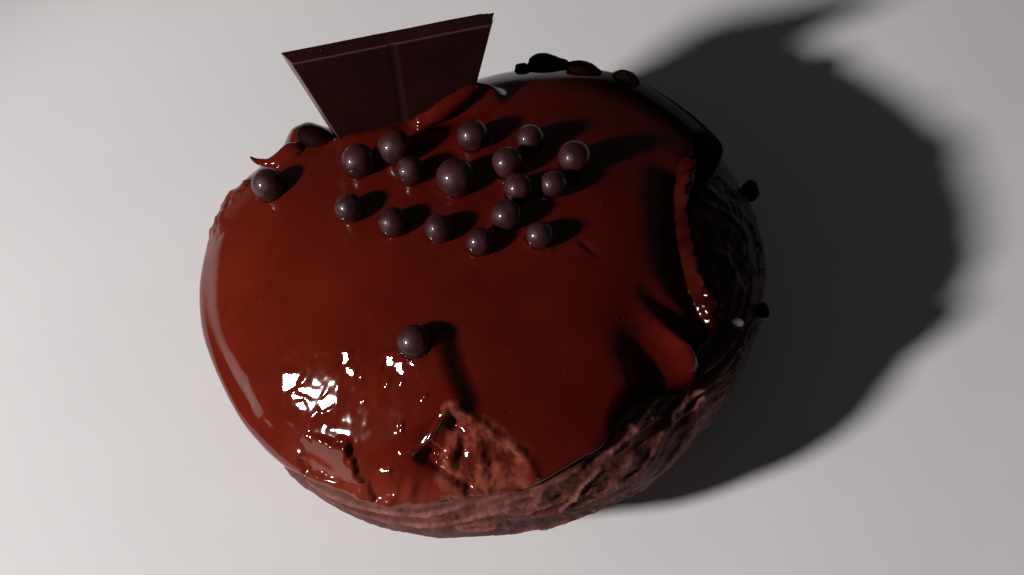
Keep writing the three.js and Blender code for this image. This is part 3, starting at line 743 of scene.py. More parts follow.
def glaze_material():
    """Set chocolate glaze: deep red brown and glossy, painted lighter and more orange towards the lamp at the
    front left, painted near black as shade where it lies away from the lamp, darker over the torn lip, and
    duller where it is broken.
    """
    material, tree, shader, place = start_material("chocolate_glaze")
    # Painted light: one glaze in a shaded and a lit tone, mixed so that it is lighter and more orange towards
    # the lamp.
    deep = two_tone(tree, place, "glaze away from the lamp", 70.0, (0.060, 0.0032, 0.0016), (0.082, 0.0052, 0.0024))
    thin = two_tone(tree, place, "glaze painted lit by the lamp", 90.0, (0.092, 0.0072, 0.0028), (0.120, 0.0105, 0.0038))
    colour = mixed(tree, lit_side_mask(tree, place), deep.outputs["Color"], thin.outputs["Color"])
    bubbles = use_group(tree, SPECKS, place, "bubbles", Scale=520.0, Radius=0.16, Share=0.22)
    colour = mixed(tree, scaled(tree, bubbles.outputs["Mask"], 0.0, 0.35), colour, (0.16, 0.035, 0.022, 1))
    colour = mixed(tree, scaled(tree, mask_of(tree, "thin"), 0.0, 0.7), colour, (0.17, 0.027, 0.014, 1))
    broken = mask_of(tree, "broken")
    crumb = use_group(tree, MOTTLE, place, "broken glaze", Scale=330.0, Low=0.38, High=0.62,
                      Dark=(0.085, 0.012, 0.007, 1), Light=(0.25, 0.056, 0.037, 1))
    colour = mixed(tree, scaled(tree, broken, 0.0, 0.85), colour, crumb.outputs["Color"])
    cut_and_shade = mask_of(tree, "cut_and_shade")
    # Painted shade: the glaze turns near black and dull where it lies in shade, with a darker tone over the torn
    # lip and the left rim.
    colour = mixed(tree, scaled(tree, cut_and_shade, 0.0, 0.9), colour, (0.010, 0.0016, 0.0012, 1))
    join(tree, colour, shader.inputs["Base Color"])
    shader.inputs["Roughness"].default_value = 0.6
    shader.inputs["Specular IOR Level"].default_value = 0.0
    dull = add_node(tree, "ShaderNodeMath", operation="MULTIPLY_ADD")
    dull.inputs[1].default_value = 0.35
    join(tree, broken, dull.inputs[0])
    join(tree, cut_and_shade, dull.inputs[2])
    join(tree, scaled(tree, dull.outputs["Value"], 1.0, 0.0), shader.inputs["Coat Weight"])
    shader.inputs["Coat Roughness"].default_value = 0.08
    fine = fine_grain(tree, place, "skin", 420.0)
    skin = bump(tree, fine.outputs["Mask"], 0.15, 0.0001)
    dots = bump(tree, bubbles.outputs["Mask"], 0.6, 0.00018, skin)
    join(tree, dots.outputs["Normal"], shader.inputs["Normal"])
    return material


def shaded_scrap_material():
    """Set glaze in heaped lumps: painted nearly black as the shade and shadow they lie in, with a satin gloss.
    """
    material, tree, shader, place = start_material("glaze_lumps_in_shade")
    # Painted shade: the lumps are near black for the piece's shadow and the shade they lie in.
    lump = two_tone(tree, place, "lump", 300.0, (0.004, 0.0010, 0.0008), (0.012, 0.0026, 0.0020))
    join(tree, lump.outputs["Color"], shader.inputs["Base Color"])
    join(tree, scaled(tree, lump.outputs["Mask"], 0.4, 0.6), shader.inputs["Roughness"])
    shader.inputs["Specular IOR Level"].default_value = 0.02
    peel = fine_grain(tree, place, "peel", 700.0)
    join(tree, bump(tree, peel.outputs["Mask"], 0.4, 0.00015).outputs["Normal"], shader.inputs["Normal"])
    return material


def dough_material():
    """Baked chocolate dough: pinkish brown crests and darker valleys, painted as light on the crests and shade
    in the valleys, pores painted dark as shade, and black and wet where glaze has smeared, that black partly
    painted shade.
    """
    material, tree, shader, place = start_material("baked_dough")
    # Painted light and shade: crests take the lighter colour and valleys the darker, by the crest mask.
    high = two_tone(tree, place, "crests", 260.0, (0.12, 0.033, 0.030), (0.29, 0.110, 0.100))
    low = two_tone(tree, place, "valleys", 180.0, (0.050, 0.013, 0.010), (0.110, 0.032, 0.026))
    colour = mixed(tree, mask_of(tree, "crest"), low.outputs["Color"], high.outputs["Color"])
    pores = use_group(tree, SPECKS, place, "pores", Scale=480.0, Radius=0.3, Share=0.5)
    # Painted shade: the pores are darkened in colour as well as sunk by the bump.
    colour = mixed(tree, scaled(tree, pores.outputs["Mask"], 0.0, 0.8), colour, (0.04, 0.011, 0.009, 1))
    smear_and_shade = mask_of(tree, "smear_and_shade")
    # Partly painted shade: the smear's near black stands for the shade of the right side as well as the glaze
    # smeared on it.
    colour = mixed(tree, smear_and_shade, colour, (0.012, 0.0025, 0.002, 1))
    join(tree, colour, shader.inputs["Base Color"])
    join(tree, scaled(tree, smear_and_shade, 0.55, 0.42), shader.inputs["Roughness"])
    shader.inputs["Specular IOR Level"].default_value = 0.12
    grain = fine_grain(tree, place, "grain", 900.0)
    skin = bump(tree, grain.outputs["Mask"], 0.5, 0.0002)
    holes = bump(tree, pores.outputs["Mask"], -0.5, 0.0002, skin)
    join(tree, holes.outputs["Normal"], shader.inputs["Normal"])
    return material


def piece_material():
    """Plain dark chocolate: smooth satin faces, painted paler as light and sheen on its bevelled sides and in
    its groove, and paler where scuffed along its front edge and at a corner.
    """
    material, tree, shader, place = start_material("dark_chocolate")
    face = two_tone(tree, place, "face", 110.0, (0.016, 0.0022, 0.0022), (0.026, 0.0040, 0.0038))
    # One paler colour: painted light on the sides and in the groove, and real wear at the front edge and the
    # corner.
    colour = mixed(tree, mask_of(tree, "worn_and_lit"), face.outputs["Color"], (0.15, 0.088, 0.090, 1))
    specks = use_group(tree, SPECKS, place, "chocolate dust", Scale=300.0, Radius=0.07, Share=0.3)
    colour = mixed(tree, specks.outputs["Mask"], colour, (0.16, 0.11, 0.10, 1))
    join(tree, colour, shader.inputs["Base Color"])
    grain = fine_grain(tree, place, "grain", 1100.0)
    join(tree, scaled(tree, grain.outputs["Mask"], 0.46, 0.6), shader.inputs["Roughness"])
    join(tree, bump(tree, grain.outputs["Mask"], 0.25, 0.0001).outputs["Normal"], shader.inputs["Normal"])
    shader.inputs["Specular IOR Level"].default_value = 0.22
    return material


def pearl_material():
    """Polished shell of the pearls: dark purple brown with a satin gloss and faint orange-peel."""
    material, tree, shader, place = start_material("pearl_shell")
    shell = two_tone(tree, place, "shell", 260.0, (0.021, 0.0040, 0.0048), (0.046, 0.0100, 0.0120))
    join(tree, shell.outputs["Color"], shader.inputs["Base Color"])
    join(tree, scaled(tree, shell.outputs["Mask"], 0.42, 0.56), shader.inputs["Roughness"])
    shader.inputs["Specular IOR Level"].default_value = 0.3
    peel = fine_grain(tree, place, "orange peel", 800.0)
    join(tree, bump(tree, peel.outputs["Mask"], 0.35, 0.00015).outputs["Normal"], shader.inputs["Normal"])
    shader.inputs["Coat Weight"].default_value = 0.45
    shader.inputs["Coat Roughness"].default_value = 0.05
    return material


def pale_material():
    """Pale crisp crumb."""
    material, tree, shader, place = start_material("pale_crumb")
    crisp = two_tone(tree, place, "crisp", 900.0, (0.62, 0.60, 0.58), (0.80, 0.79, 0.77))
    join(tree, crisp.outputs["Color"], shader.inputs["Base Color"])
    join(tree, scaled(tree, crisp.outputs["Mask"], 0.4, 0.6), shader.inputs["Roughness"])
    return material


# ---------------------------------------------------------------- the pieces

# Points round the body, rows of the glaze's outer and inner faces, rows of both over the last degrees to the
# edge, those degrees, and the power that crowds the other rows towards them.
ROUND = 720
GLAZE_ROWS = 112
INNER_ROWS = 13
EDGE_ROWS = 12
EDGE_SPAN = 3.2
ROWS_CROWD = 0.8
# Rows of the dough under the glaze and beyond its edge.
DOUGH_TOP_ROWS = 26
DOUGH_SIDE_ROWS = 118
# How much closer points lie in arcs of azimuths, each with its fade.
CROWDED = [(2.0, (212, 332, 14)), (0.7, (-30, 40, 14))]
# Least thickness of the glaze where a hollow dips below its underside.
THINNEST = 0.7
# Seat of a pearl: height, reach, unevenness and grain of its rim, and the gap under the pearl.
SEAT = dict(height=0.3, reach=0.6, uneven=0.8, grain=1.1, gap=0.03)
# Arcs of azimuths, each with its fade, in which the glaze is black and dull: along the torn edge, at the right
# back, in the hollows, beyond the torn lip, at its foot and at the tip of the fold. The black in these arcs is
# painted shade of the side away from the lamp. Then the thin front left.
CUT_AND_SHADE_ARCS = dict(
    edge=(-62, 44, 6), back=(14, 70, 12), hollows=(-50, 40, 8), beyond_lip=(-16, 40, 5), lip_foot=(-28, -11, 4),
    fold_tip=(-44, -14, 5),
)
THIN_ARC = (226, 266, 8)


def rows_to_edge(edge, rows):
    """Polar angles from the crown to the edge: even rows, then close ones over the last few degrees."""
    even = np.linspace(0, 1, rows - EDGE_ROWS + 1)[1:, None] ** ROWS_CROWD * (edge - EDGE_SPAN)[None, :]
    ease = np.sin(np.linspace(0, np.pi / 2, EDGE_ROWS + 1))[1:, None]
    return np.concatenate([even, (edge - EDGE_SPAN)[None, :] + ease * EDGE_SPAN])


def close_azimuths():
    """Azimuths once round the body, closer where the glaze is broken and torn."""
    fine = np.linspace(0, 360, 3601)
    density = 1 + sum(more * arc_mask(fine, *arc) for more, arc in CROWDED)
    travel = np.concatenate([[0], np.cumsum((density[1:] + density[:-1]) / 2)])
    return np.interp(np.linspace(0, travel[-1], ROUND, endpoint=False), travel, fine)


def pearl_middles():
    """Middle and radius of every pearl."""
    azimuth, polar, radius = np.array(PEARLS).T
    return raised(azimuth, polar, PEARL_RISE * radius), radius


def seat_pearls(points, normals):
    """Lifts the glaze in a small rim round each pearl, and sets what would be inside it on its underside."""
    middles, radii = pearl_middles()
    for middle, radius in zip(middles, radii):
        away = np.linalg.norm(points - middle, axis=-1)
        uneven = 1 + SEAT["uneven"] * noise(points, SEAT["grain"], seed=27)
        rim = SEAT["height"] * uneven * bell(np.maximum(away - radius, 0), SEAT["reach"])
        points = points + normals * rim[..., None]
        away = np.linalg.norm(points - middle, axis=-1)
        inside = np.maximum(radius + SEAT["gap"] - away, 0) / np.maximum(away, 1e-6)
        points = points + (points - middle) * inside[..., None]
    return points


def edge_turn(polar, edge, thickness):
    """How near a row is to the edge, from zero to one, and how far it has turned in towards the middle."""
    near = np.clip(1 - (edge - polar) / EDGE_SPAN, 0, 1)
    return near, thickness * 0.5 * (1 - np.sqrt(1 - near**2))


def cut_and_shade_mask(around, polar, edge, relief):
    """One where the glaze is black and dull: painted shade at its torn edge on the shaded right, in hollows, at
    the back, beyond the torn lip, at its foot and at the fold's tip, and a darker tone over the torn lip and the
    left rim.
    """
    points = body_point(around, polar)
    torn, torn_side = away_from(points, "torn lip")
    rim = away_from(points, "rim lip at the left back")[0]
    shares = [
        # Most of these shares paint shade: the torn edge, the back right, the hollows, beyond the lip, its foot
        # and the fold's tip.
        smooth(1 - (edge - polar) / EDGE_SPAN, -0.9, 0.1) * arc_mask(around, *CUT_AND_SHADE_ARCS["edge"]),
        0.9 * smooth(polar + 0.2 * (around - 45), 47, 57) * arc_mask(around, *CUT_AND_SHADE_ARCS["back"]),
        0.5 * smooth(-relief, 0.5, 1.8) * arc_mask(around, *CUT_AND_SHADE_ARCS["hollows"]),
        0.8 * bell(torn, 2.4) + 0.25 * bell(rim, 1.8),
        smooth(-torn * torn_side, 0.3, 1.0) * arc_mask(around, *CUT_AND_SHADE_ARCS["beyond_lip"]),
        bell(torn, 3.0) * arc_mask(around, *CUT_AND_SHADE_ARCS["lip_foot"]),
        smooth(polar - edge, -5.0, -3.0) * arc_mask(around, *CUT_AND_SHADE_ARCS["fold_tip"]),
    ]
    return np.max(shares, axis=0)


def make_glaze(material):
    """Cap of glaze: its outer face with all relief down to the edge, round the edge, and back up inside."""
    azimuth = close_azimuths()
    edge = glaze_edge(azimuth)
    polar = rows_to_edge(edge, GLAZE_ROWS)
    around = np.broadcast_to(azimuth, polar.shape)
    _, turn_in = edge_turn(polar, edge, glaze_thickness(around, polar, edge))
    relief = glaze_relief(around, polar)
    outer = seat_pearls(raised(around, polar, relief - turn_in), body_normal(around, polar))
    polar_in = rows_to_edge(edge, INNER_ROWS)[::-1]
    around_in = np.broadcast_to(azimuth, polar_in.shape)
    thick_in = glaze_thickness(around_in, polar_in, edge)
    near_in, turn_out = edge_turn(polar_in, edge, thick_in)
    sunk_in = np.maximum(thick_in, THINNEST - glaze_relief(around_in, polar_in) * (1 - near_in))
    inner = raised(around_in, polar_in, -sunk_in + turn_out)
    under = np.zeros(inner[1:].shape[:2])
    thin = arc_mask(around, *THIN_ARC) * smooth(polar, 58, 72)
    masks = {
        "broken": np.concatenate([broken_mask(around, polar), under]),
        "cut_and_shade": np.concatenate([cut_and_shade_mask(around, polar, edge, relief), under + 1]),
        "thin": np.concatenate([thin, under]),
    }
    glaze = closed_skin("glaze_skin", np.concatenate([outer, inner[1:]]), masks)
    finish_piece(glaze, material, ["glaze"])


# Ridges of the bare side: half width, and route as azimuth, polar angle and height.
SIDE_RIDGES = [
    (0.45, [
        (322, 62.5, 0.4), (328, 64.2, 0.8), (333.5, 66.2, 0.8), (338.5, 69.2, 0.8), (345.5, 70.5, 0.7),
        (351, 75, 0.5),
    ]),
    (0.45, [(318, 68, 0.4), (326, 70, 0.7), (333, 72, 0.8), (341, 75, 0.6), (350, 80, 0.3)]),
    (0.40, [(298, 57.5, 0.4), (304, 55.5, 0.6), (311.5, 54.8, 0.5), (317, 58, 0.3)]),
    (0.45, [(300, 64, 0.4), (308.5, 61, 0.7), (314, 63.5, 0.6), (320, 72, 0.4), (327, 74, 0.5)]),
    (0.30, [(279, 82, 0.3), (285, 82, 0.6), (288.5, 77, 0.6), (291, 72, 0.5), (296, 68, 0.3)]),
    (0.35, [(229, 85, 0.2), (236, 83, 0.45), (246, 80.5, 0.5), (256, 77, 0.5), (264, 71, 0.4), (273, 68, 0.2)]),
    (0.40, [(238, 89, 0.2), (248, 86, 0.4), (259, 82, 0.5), (268, 76, 0.4), (277, 74, 0.2)]),
    (0.35, [
        (263, 83.5, 0.4), (267, 81, 0.5), (271, 82, 0.4), (270.5, 85, 0.4), (266, 86, 0.4), (263, 83.5, 0.4),
    ]),
]
# Pits of the bare side: azimuth, polar angle, half length round the body, half height and depth.
SIDE_PITS = [
    (294.5, 63.2, 1.5, 0.8, 1.2), (306.5, 67, 1.6, 0.6, 0.6), (297, 75, 2.0, 0.5, 0.6),
    (302.5, 77.5, 1.8, 0.5, 0.6),
    (285.5, 75, 1.2, 0.5, 0.5), (315.5, 66, 2.4, 0.8, 0.8), (322, 66, 1.5, 0.9, 1.1), (270, 88, 1.4, 0.5, 0.5),
]

# Creases of the bare side: a coarse and a fine noise that drift up and down together.
CREASES = dict(size=2.0, coarse=0.9, fine=0.35, level=0.4, drift=2.4, drift_size=8.0)
# Arcs of azimuths, each with its fade: deep creases at the right front, faint ones in the front band, and the
# dough that glaze has smeared black, wholly at the right and partly before it. That black is partly painted
# shade of the side away from the lamp.
DEEP_CREASES, FAINT_CREASES = (-92, 20, 14), (208, 285, 10)
SMEARED_AND_SHADED, PARTLY_SMEARED_AND_SHADED = (-24, 44, 12), (-66, -20, 8)


def side_creases(points, azimuth, polar):
    """Creased side: noise stretched round the body and folded at zero into sharp crests."""
    along, down = azimuth * ROUND_SCALE, polar * DOWN_SCALE
    drift = CREASES["drift"] * noise(points, CREASES["drift_size"], seed=12)
    flow = np.stack([along / 4.0, down + 0.3 * along + drift, 0 * along], axis=-1)
    fine = np.stack([along / 2.2, (down - 0.2 * along + drift) * 1.9, 3 + 0 * along], axis=-1)
    crests = (1 - np.abs(noise(flow, CREASES["size"], seed=13))) ** 3 - CREASES["level"]
    small = (1 - np.abs(noise(fine, CREASES["size"], seed=14))) ** 3 - CREASES["level"]
    return CREASES["coarse"] * crests + CREASES["fine"] * small


def side_folds(azimuth, polar):
    """Ridges and pits of the bare side."""
    folds = ridges_round_body(azimuth, polar, SIDE_RIDGES)
    for pit_azimuth, pit_polar, half_long, half_high, depth in SIDE_PITS:
        along = (azimuth - pit_azimuth) * ROUND_SCALE / half_long
        down = (polar - pit_polar) * DOWN_SCALE / half_high
        folds -= depth * bell(np.hypot(along, down), 1)
    return folds


def dough_depth(around, polar, edge):
    """Depth of the dough's skin below the smooth body: under the glaze, or coming up beyond its edge."""
    torn = arc_mask(around, TORN["start"], TORN["end"], TORN["fade"])
    near = TORN["recover_near"] - FRONT_DOUGH["sooner"] * arc_mask(around, *FRONT_DOUGH["arc"])
    recover = near + (TORN["recover_torn"] - near) * torn
    sunk = (edge_thickness(around) + FIT_GAP) * np.exp(-np.maximum(polar - edge, 0) / recover)
    covered = np.maximum(glaze_thickness(around, polar, edge), THINNEST - glaze_relief(around, polar)) + FIT_GAP
    return np.where(polar <= edge, covered, sunk)


def smear_and_shade_mask(points, around, polar, edge):
    """One where glaze has smeared the bare dough black at the right, in uneven patches; the black is partly
    painted shade of the side away from the lamp.
    """
    part = 0.6 * arc_mask(around, *PARTLY_SMEARED_AND_SHADED) * (1 - smooth(polar, 60, 67))
    patches = 0.85 + 0.5 * noise(points, 5.0, seed=16)
    smear_and_shade = np.clip((arc_mask(around, *SMEARED_AND_SHADED) + part) * patches, 0, 1)
    return smear_and_shade * smooth(polar - edge, -2.0, -0.5)


def make_dough(material):
    """Body of dough: just inside the glaze, then the bare, creased side, the underside and the flat base."""
    azimuth = close_azimuths()
    edge = glaze_edge(azimuth)
    under = np.linspace(0, 1, DOUGH_TOP_ROWS + 1)[1:, None] * edge[None, :]
    share = np.linspace(0, 1, DOUGH_SIDE_ROWS + 1)[1:, None]
    polar = np.concatenate([under, edge[None, :] + share * (BASE_POLAR - edge)[None, :]])
    around = np.broadcast_to(azimuth, polar.shape)
    points = body_point(around, polar)
    bare = smooth(polar - edge, 0.5, 5) * (1 - smooth(polar, 118, BASE_POLAR - 6))
    creased = np.maximum(arc_mask(around, *DEEP_CREASES), 0.22 * arc_mask(around, *FAINT_CREASES))
    folds = side_folds(around, polar)
    skin = 0.55 * creased * side_creases(points, around, polar) + folds
    skin += texture(points, "swells of the dough") + texture(points, "grain of the dough")
    level = 1 - smooth(polar, 120, BASE_POLAR - 4)
    height = bare * (skin - 0.3 * creased) - dough_depth(around, polar, edge)
    rings = raised(around, polar, height * level)
    rings[-1, :, 2] = 0
    rings[..., 2] = np.maximum(rings[..., 2], 0)
    middle = np.array([BODY["pole_x"], BODY["pole_y"], 0.0])
    base = middle + (rings[-1:] - middle) * np.array([0.98, 0.6, 0.2])[:, None, None]
    base_flat = np.zeros((len(base), ROUND))
    masks = {
        "smear_and_shade": np.concatenate([smear_and_shade_mask(points, around, polar, edge), base_flat]),
        # Mask for the painted light on the crests and the painted shade in the valleys.
        "crest": np.concatenate([smooth(skin + 0.6 * folds, -0.25, 0.5), base_flat]),
    }
    dough = closed_skin("dough_body", np.concatenate([rings, base]), masks)
    finish_piece(dough, material, ["dough"])


def turn_matrix(axis, degrees):
    """Rotation about x, y or z."""
    c, s = math.cos(math.radians(degrees)), math.sin(math.radians(degrees))
    i, j = {"x": (1, 2), "y": (2, 0), "z": (0, 1)}[axis]
    matrix = np.eye(3)
    matrix[i, i] = matrix[j, j] = c
    matrix[i, j], matrix[j, i] = -s, s
    return matrix


# Points round the piece and level cuts down it, softness of its corners, its rounded top edge, the cuts that
# close its broken top (share by which each is drawn in, and height), and those that close its foot.
PIECE_ROUND = 520
PIECE_ROWS = 120
PIECE_SOFT = 0.14
PIECE_BEVEL = dict(height=0.22, steps=7, flatness=1.4)
PIECE_TOP_CUTS = [(0.93, -0.02), (0.7, 0.0), (0.42, 0.0), (0.2, 0.0)]
PIECE_FOOT_DRAWN_IN = (0.5, 0.93)


def piece_outline(z):
    """Level section through the piece at height z: a trapezium with softened corners and a groove in its front.
    """
    half = PIECE["width"] / 2 + PIECE["taper"] * z
    face = half - PIECE["face_inset"]
    front = -PIECE["thickness"]
    corners = np.array([(-half, 0), (-face, front), (face, front), (half, 0), (-half, 0)])
    lengths = np.linalg.norm(np.diff(corners, axis=0), axis=1)
    travel = np.concatenate([[0], np.cumsum(lengths)])
    steps = np.linspace(0, travel[-1], PIECE_ROUND, endpoint=False)
    loop = np.stack([np.interp(steps, travel, corners[:, 0]), np.interp(steps, travel, corners[:, 1])], axis=-1)
    reach = max(1, int(PIECE_SOFT / (travel[-1] / PIECE_ROUND)))
    loop = sum(np.roll(loop, k, axis=0) for k in range(-reach, reach + 1)) / (2 * reach + 1)
    wall = smooth(np.abs(loop[:, 0]), PIECE["groove_floor"] / 2, PIECE["groove_width"] / 2)
    in_front = smooth(-loop[:, 1], PIECE["thickness"] * 0.6, PIECE["thickness"] * 0.9)
    loop[:, 1] += PIECE["groove_depth"] * (1 - wall) * in_front
    return loop


def piece_cuts():
    """Level cuts down the piece: the share by which each is drawn in, and its height."""
    bevel = PIECE_BEVEL["height"]
    bend = np.linspace(0, np.pi / 2, PIECE_BEVEL["steps"])
    cuts = list(PIECE_TOP_CUTS)
    cuts += [(bevel * (1 - math.sin(b)) / PIECE_BEVEL["flatness"], -bevel * (1 - math.cos(b))) for b in bend]
    cuts += [(0.0, z) for z in np.linspace(-bevel, -PIECE["length"], PIECE_ROWS)[1:]]
    return cuts + [(inset, -PIECE["length"]) for inset in PIECE_FOOT_DRAWN_IN]


def piece_rings():
    """Level cuts of the piece before it leans, as rings of points."""
    middle = np.array([0.0, -PIECE["thickness"] / 2])
    rings = []
    for inset, z in piece_cuts():
        across = np.array([1 - inset * PIECE["thickness"] / PIECE["width"], 1 - inset])
        flat = middle + (piece_outline(z) - middle) * across
        rings.append(np.concatenate([flat, np.full((PIECE_ROUND, 1), z)], axis=1))
    return np.array(rings)


def make_piece(material):
    """Standing piece: level cuts stacked from its broken top edge to its foot, leant back and turned."""
    rings = piece_rings()
    x, y, z = rings[..., 0], rings[..., 1], rings[..., 2]
    rough = layered_noise(rings, 1.3, 3, seed=21)
    half = PIECE["width"] / 2 + PIECE["taper"] * z
    # Painted light: the bevelled sides are paler, standing for the light and sheen they catch.
    side = smooth(np.abs(x) - half + PIECE["face_inset"], 0.0, 0.25) * smooth(-y, 0.0, 0.15)
    side = side * (1 - smooth(z, -0.1, 0.0)) * (1 - 0.65 * smooth(-z, 8, 18))
    front = smooth(-y, 2.4, 2.6)
    edge_line = front * smooth(z, -0.32, -0.18) * (1 - smooth(z, -0.06, -0.01))
    top = smooth(z, -0.7, -0.05)
    corner = smooth(x, 13.2, 16.4) * smooth(z, -3.0, 0)
    rings[..., 2] += top * (0.02 * rough + 0.05 * noise(rings, 6.0, seed=22)) - corner * (0.3 + 0.3 * rough)
    rings[..., 0] -= corner * (0.25 + 0.3 * rough)
    rings[..., 1] += 0.04 * noise(rings, 5.0, seed=23)
    groove = (1 - smooth(np.abs(rings[..., 0]), 0.2, 1.1)) * front * (1 - smooth(rings[..., 2], -0.3, -0.1))
    # Paler colour: painted light on the sides and in the groove, wear along the front edge line and at the
    # scuffed corner.
    worn_and_lit = np.clip(side + 0.35 * edge_line + 0.05 * groove + 0.2 * corner * (rough > 0.3), 0, 1)
    turned = rings @ turn_matrix("x", -PIECE["lean"]).T @ turn_matrix("z", PIECE["turn"]).T
    piece = closed_skin("standing_piece", turned + np.array(PIECE["top_middle"]), {"worn_and_lit": worn_and_lit})
    finish_piece(piece, material, ["chocolate_piece"])


def make_pearls(material):
    """Each pearl: a ball a little flattened and dimpled by noise, set in its seat."""
    draw = np.random.default_rng(7)
    ball = ball_rings(30, 52)
    middles, radii = pearl_middles()
    for i, (middle, radius) in enumerate(zip(middles, radii), start=1):
        squash = 1 - 0.05 * draw.random(3)
        spin = turn_matrix("x", 360 * draw.random()) @ turn_matrix("z", 360 * draw.random())
        shape = (ball * squash) @ spin.T
        swell = 1 + 0.018 * noise(shape, 0.55, seed=30 + i) + 0.006 * noise(shape, 0.2, seed=i)
        shape = shape * swell[..., None]
        pearl = closed_skin(f"crunchy_pearl_{i:02d}", middle + radius * shape)
        finish_piece(pearl, material, [f"pearl_{i:02d}"])


def make_scraps(material):
    """Scraps of set glaze on the rim: squashed balls roughened by noise, half sunk in the glaze."""
    ball = ball_rings(24, 40)
    for i, (azimuth, polar, half, turn, rise) in enumerate(SCRAPS, start=1):
        rough = 1 + 0.2 * layered_noise(ball, 0.8, 3, seed=40 + i)
        shape = ball * rough[..., None] * np.array(half) @ turn_matrix("z", turn).T
        middle = raised(np.float64(azimuth), np.float64(polar), rise)
        finish_piece(closed_skin(f"glaze_scrap_{i}", middle + shape), material)


# Steps along a strip and round it, and how abruptly it ends.
STRIP = dict(rows=60, around=36, blunt=12)


def spread_along(share, rows):
    """Values at shares of the way through evenly spaced rows."""
    knots = np.linspace(0, 1, len(rows))
    return np.stack([np.interp(share, knots, column) for column in np.array(rows).T], axis=-1)


def evened(path, reach=4):
    """Path whose points are averages over their neighbours on both sides."""
    weights = np.full(2 * reach + 1, 1 / (2 * reach + 1))
    padded = np.pad(path, ((reach, reach), (0, 0)), "edge")
    return np.stack([np.convolve(column, weights, "valid") for column in padded.T], axis=-1)


def make_strip(name, material, points, halves):
    """Drawn-out strip of glaze: a flattened round section along a path through points, rounded at its ends."""
    share = np.linspace(0, 1, STRIP["rows"])
    path = evened(spread_along(share, points))
    ends = (1 - share ** STRIP["blunt"]) * (1 - (1 - share) ** STRIP["blunt"])
    halves = spread_along(share, halves) * np.sqrt(np.clip(ends, 0.02, 1))[:, None]
    heading = unit(np.gradient(path, axis=0))
    across = unit(np.cross(heading, [0.0, 0.0, 1.0]))
    lift = np.cross(across, heading)
    turn = np.linspace(0, 2 * np.pi, STRIP["around"], endpoint=False)
    wide = np.cos(turn)[None, :, None] * across[:, None, :] * halves[:, None, :1]
    high = np.sin(turn)[None, :, None] * lift[:, None, :] * halves[:, None, 1:]
    rings = path[:, None, :] + wide + high
    rings = rings + 0.14 * noise(rings, 1.6, seed=45)[..., None] * unit(wide + high)
    finish_piece(closed_skin(name, rings), material)


def make_lump(name, material, middle, half, turn):
    """Rounded lump of glaze: a ball drawn out along three axes and a little uneven, half sunk in the glaze."""
    ball = ball_rings(26, 42)
    shape = ball * (1 + 0.06 * noise(ball, 0.9, seed=46))[..., None] * np.array(half) @ turn_matrix("z", turn).T
    finish_piece(closed_skin(name, shape + np.array(middle)), material)


# Pale crumb: azimuth, polar angle and height of its place, shift from there, half sizes and turn about y.
PALE_CRUMB = dict(place=(345.5, 64.7, -0.5), shift=(0.3, 0.8, -1.7), half=(0.8, 0.5, 1.3), turn=-24)


def make_pale_crumb(material):
    """Pale crumb on the bare side at the right: a small irregular flake."""
    ball = ball_rings(14, 22)
    rough = 1 + 0.25 * layered_noise(ball, 0.8, 2, seed=51)
    shape = ball * rough[..., None] * np.array(PALE_CRUMB["half"]) @ turn_matrix("y", PALE_CRUMB["turn"]).T
    middle = raised(*np.float64(PALE_CRUMB["place"])) + np.array(PALE_CRUMB["shift"])
    finish_piece(closed_skin("pale_crumb", middle + shape), material)


# ---------------------------------------------------------------- stage, light and camera


# The lamp: azimuth and elevation of its direction, distance and radius in metres, cone in degrees, softness
# of its rim, power in watts, colour, and the place it looks at.
KEY = dict(
    direction=(205.6, 32), distance=0.65, radius=0.0325, cone=27, blend=0.5, power=20.0,
    colour=(1.0, 0.965, 0.93), target=(-0.008, -0.006, 0.015),
)


def make_floor():
    """Plain pale floor, far larger than the view."""
    side = 1.5
    mesh = bpy.data.meshes.new("floor")
    corners = [(-side, -side, 0), (side, -side, 0), (side, side, 0), (-side, side, 0)]
    mesh.from_pydata(corners, [], [(0, 1, 2, 3)])
    floor = bpy.data.objects.new("floor", mesh)
    bpy.context.scene.collection.objects.link(floor)
    material, tree, shader, place = start_material("pale_floor")
    shade = use_group(tree, MOTTLE, place, "floor", Scale=30.0, Low=0.2, High=0.8,
                      Dark=(0.78, 0.77, 0.79, 1), Light=(0.82, 0.81, 0.83, 1))
    join(tree, shade.outputs["Color"], shader.inputs["Base Color"])
    shader.inputs["Roughness"].default_value = 0.8
    mesh.materials.append(material)


def aim(thing, place, target):
    """Puts a light at a place, looking at a target."""
    thing.location = place
    thing.rotation_euler = (Vector(target) - Vector(place)).to_track_quat("-Z", "Y").to_euler()


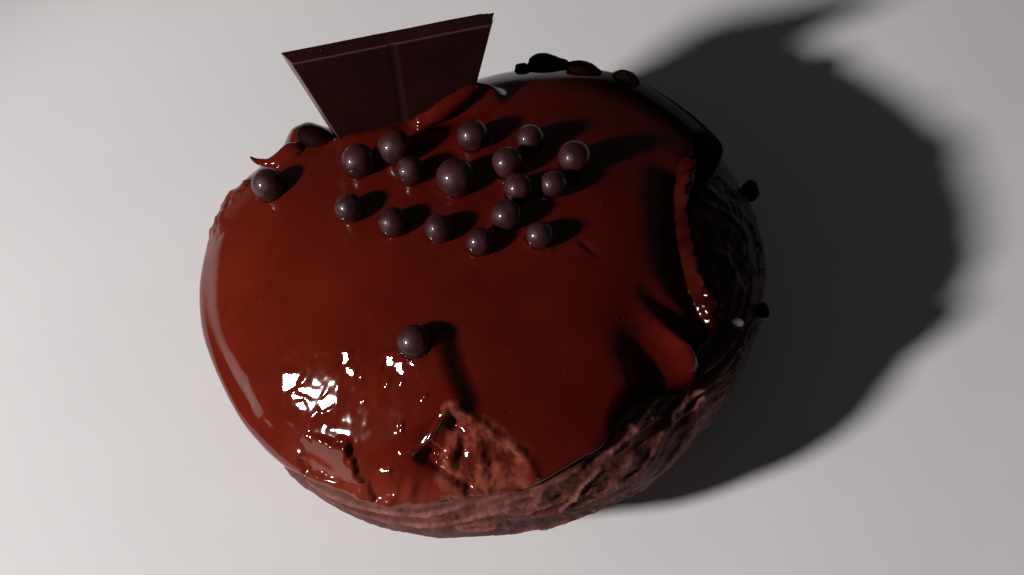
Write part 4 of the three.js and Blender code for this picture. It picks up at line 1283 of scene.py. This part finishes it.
def make_lights():
    """Soft key lamp low at the front left, whose pool fades round the doughnut, and a dim even surround."""
    lamp = bpy.data.lights.new("key", "SPOT")
    lamp.energy = KEY["power"]
    lamp.color = KEY["colour"]
    lamp.shadow_soft_size = KEY["radius"]
    lamp.spot_size = math.radians(KEY["cone"])
    lamp.spot_blend = KEY["blend"]
    key = bpy.data.objects.new("key", lamp)
    bpy.context.scene.collection.objects.link(key)
    azimuth, elevation = map(math.radians, KEY["direction"])
    flat = KEY["distance"] * math.cos(elevation)
    place = (flat * math.cos(azimuth), flat * math.sin(azimuth), KEY["distance"] * math.sin(elevation))
    aim(key, place, KEY["target"])
    world = bpy.data.worlds.new("studio")
    world.use_nodes = True
    backdrop = world.node_tree.nodes["Background"]
    backdrop.inputs["Color"].default_value = (0.93, 0.95, 1.0, 1)
    backdrop.inputs["Strength"].default_value = 0.025
    bpy.context.scene.world = world


# The camera: focal length and image width in pixels, elevation in degrees, distance and target in millimetres.
FOCAL_PIXELS = 1500.0
IMAGE_WIDTH = 1024
CAMERA_ELEVATION = 64.0
CAMERA_DISTANCE = 253.2
CAMERA_TARGET = (4.24, 8.23, 0.0)


def make_camera():
    """Camera above the front, as far away and as long as the photograph's perspective asks."""
    data = bpy.data.cameras.new("camera")
    data.sensor_width = 36.0
    data.lens = data.sensor_width * FOCAL_PIXELS / IMAGE_WIDTH
    data.clip_start, data.clip_end = 0.01, 10
    camera = bpy.data.objects.new("camera", data)
    bpy.context.scene.collection.objects.link(camera)
    tilt = math.radians(CAMERA_ELEVATION)
    x, y, z = CAMERA_TARGET
    place = (x, y - CAMERA_DISTANCE * math.cos(tilt), z + CAMERA_DISTANCE * math.sin(tilt))
    camera.location = [value * MM for value in place]
    camera.rotation_euler = (math.pi / 2 - tilt, 0, 0)
    bpy.context.scene.camera = camera


make_camera()
glaze = glaze_material()
dough = dough_material()
make_dough(dough)
make_glaze(glaze)
make_piece(piece_material())
make_pearls(pearl_material())
# Glaze lumps painted near black as shade.
shaded_lump_glaze = shaded_scrap_material()
make_scraps(shaded_lump_glaze)
make_strip("glaze_flap", glaze, *FLAP)
make_strip("glaze_tongue", glaze, *TONGUE)
make_lump("glaze_hump", shaded_lump_glaze, *HUMP)
make_pale_crumb(pale_material())
make_floor()
make_lights()
bpy.context.scene.view_settings.view_transform = "Standard"
